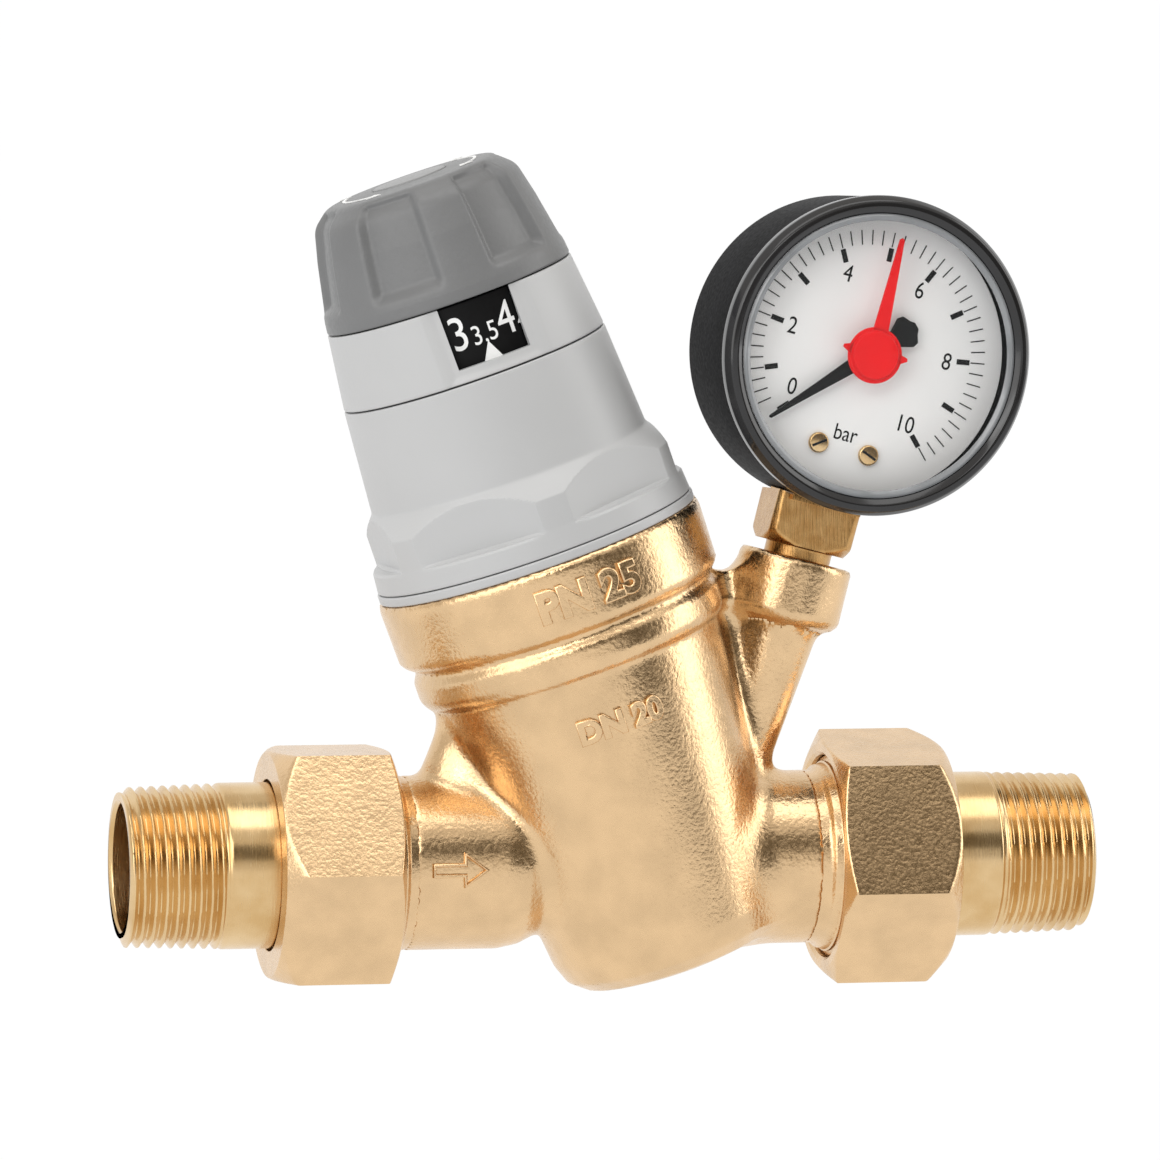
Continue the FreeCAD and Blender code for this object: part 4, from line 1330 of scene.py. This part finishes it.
class VALVE_OT_stage(bpy.types.Operator):
    """White sweep, softboxes, flag and camera"""

    bl_idname = "valve.stage"
    bl_label = "Stage"

    def execute(self, context):
        build_sweep()
        build_lights()
        build_camera()
        return {"FINISHED"}


class VALVE_OT_casting(bpy.types.Operator):
    """Forged body with its machined spigots and raised marks"""

    bl_idname = "valve.casting"
    bl_label = "Body casting"

    def execute(self, context):
        build_casting()
        build_cast_marks()
        return {"FINISHED"}


class VALVE_OT_tailpieces(bpy.types.Operator):
    """Taper-threaded tailpieces of both unions"""

    bl_idname = "valve.tailpieces"
    bl_label = "Tailpieces"

    def execute(self, context):
        build_tailpieces()
        return {"FINISHED"}


class VALVE_OT_union_nuts(bpy.types.Operator):
    """Union nuts at both ends"""

    bl_idname = "valve.union_nuts"
    bl_label = "Union nuts"

    def execute(self, context):
        build_union_nuts()
        return {"FINISHED"}


class VALVE_OT_bonnet(bpy.types.Operator):
    """Bonnet with its wrench hexagon, and the flange band under it"""

    bl_idname = "valve.bonnet"
    bl_label = "Bonnet"

    def execute(self, context):
        build_bonnet()
        return {"FINISHED"}


class VALVE_OT_window_ring(bpy.types.Operator):
    """Ring with the window over the scale"""

    bl_idname = "valve.window_ring"
    bl_label = "Window ring"

    def execute(self, context):
        build_window_ring()
        return {"FINISHED"}


class VALVE_OT_scale_drum(bpy.types.Operator):
    """Black drum with its pressure figures"""

    bl_idname = "valve.scale_drum"
    bl_label = "Scale drum"

    def execute(self, context):
        build_drum()
        return {"FINISHED"}


class VALVE_OT_knob(bpy.types.Operator):
    """Knob, its cover disc and its turning marks"""

    bl_idname = "valve.knob"
    bl_label = "Knob"

    def execute(self, context):
        build_knob()
        build_knob_marks()
        return {"FINISHED"}


class VALVE_OT_main_spring(bpy.types.Operator):
    """Main spring under the bonnet"""

    bl_idname = "valve.main_spring"
    bl_label = "Main spring"

    def execute(self, context):
        build_spring()
        return {"FINISHED"}


class VALVE_OT_gauge_body(bpy.types.Operator):
    """Gauge stem, case, bezel and window"""

    bl_idname = "valve.gauge_body"
    bl_label = "Gauge body"

    def execute(self, context):
        build_gauge_stem()
        build_gauge_case()
        return {"FINISHED"}


class VALVE_OT_dial(bpy.types.Operator):
    """Dial sheet with its print and screws"""

    bl_idname = "valve.dial"
    bl_label = "Dial"

    def execute(self, context):
        build_dial()
        build_dial_screws()
        return {"FINISHED"}


class VALVE_OT_hands(bpy.types.Operator):
    """Black pointer and red set hand"""

    bl_idname = "valve.hands"
    bl_label = "Hands"

    def execute(self, context):
        build_hands()
        return {"FINISHED"}


class VALVE_OT_inner_pieces(bpy.types.Operator):
    """Finishes of the pieces inside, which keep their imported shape"""

    bl_idname = "valve.inner_pieces"
    bl_label = "Inner pieces"

    def execute(self, context):
        finish_inner_pieces()
        return {"FINISHED"}


OPERATORS = (
    VALVE_OT_stage,
    VALVE_OT_casting,
    VALVE_OT_tailpieces,
    VALVE_OT_union_nuts,
    VALVE_OT_bonnet,
    VALVE_OT_window_ring,
    VALVE_OT_scale_drum,
    VALVE_OT_knob,
    VALVE_OT_main_spring,
    VALVE_OT_gauge_body,
    VALVE_OT_dial,
    VALVE_OT_hands,
    VALVE_OT_inner_pieces,
)


class VALVE_PT_panel(bpy.types.Panel):
    """The valve's settings and steps"""

    bl_idname = "VALVE_PT_panel"
    bl_label = "Pressure reducing valve"
    bl_space_type = "VIEW_3D"
    bl_region_type = "UI"
    bl_category = "Valve"

    def draw(self, context):
        column = self.layout.column()
        for name in ValveSettings.__annotations__:
            column.prop(context.scene.valve, name)
        for operator in OPERATORS:
            column.operator(operator.bl_idname)


def register():
    for cls in (ValveSettings, *OPERATORS, VALVE_PT_panel):
        bpy.utils.register_class(cls)
    bpy.types.Scene.valve = PointerProperty(type=ValveSettings)


def unregister():
    del bpy.types.Scene.valve
    for cls in (VALVE_PT_panel, *reversed(OPERATORS), ValveSettings):
        bpy.utils.unregister_class(cls)


def main():
    """Registers the add-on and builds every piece."""
    register()
    bpy.ops.valve.stage()
    bpy.ops.valve.casting()
    bpy.ops.valve.tailpieces()
    bpy.ops.valve.union_nuts()
    bpy.ops.valve.bonnet()
    bpy.ops.valve.window_ring()
    bpy.ops.valve.scale_drum()
    bpy.ops.valve.knob()
    bpy.ops.valve.main_spring()
    bpy.ops.valve.gauge_body()
    bpy.ops.valve.dial()
    bpy.ops.valve.hands()
    bpy.ops.valve.inner_pieces()


if __name__ == "__main__":
    main()
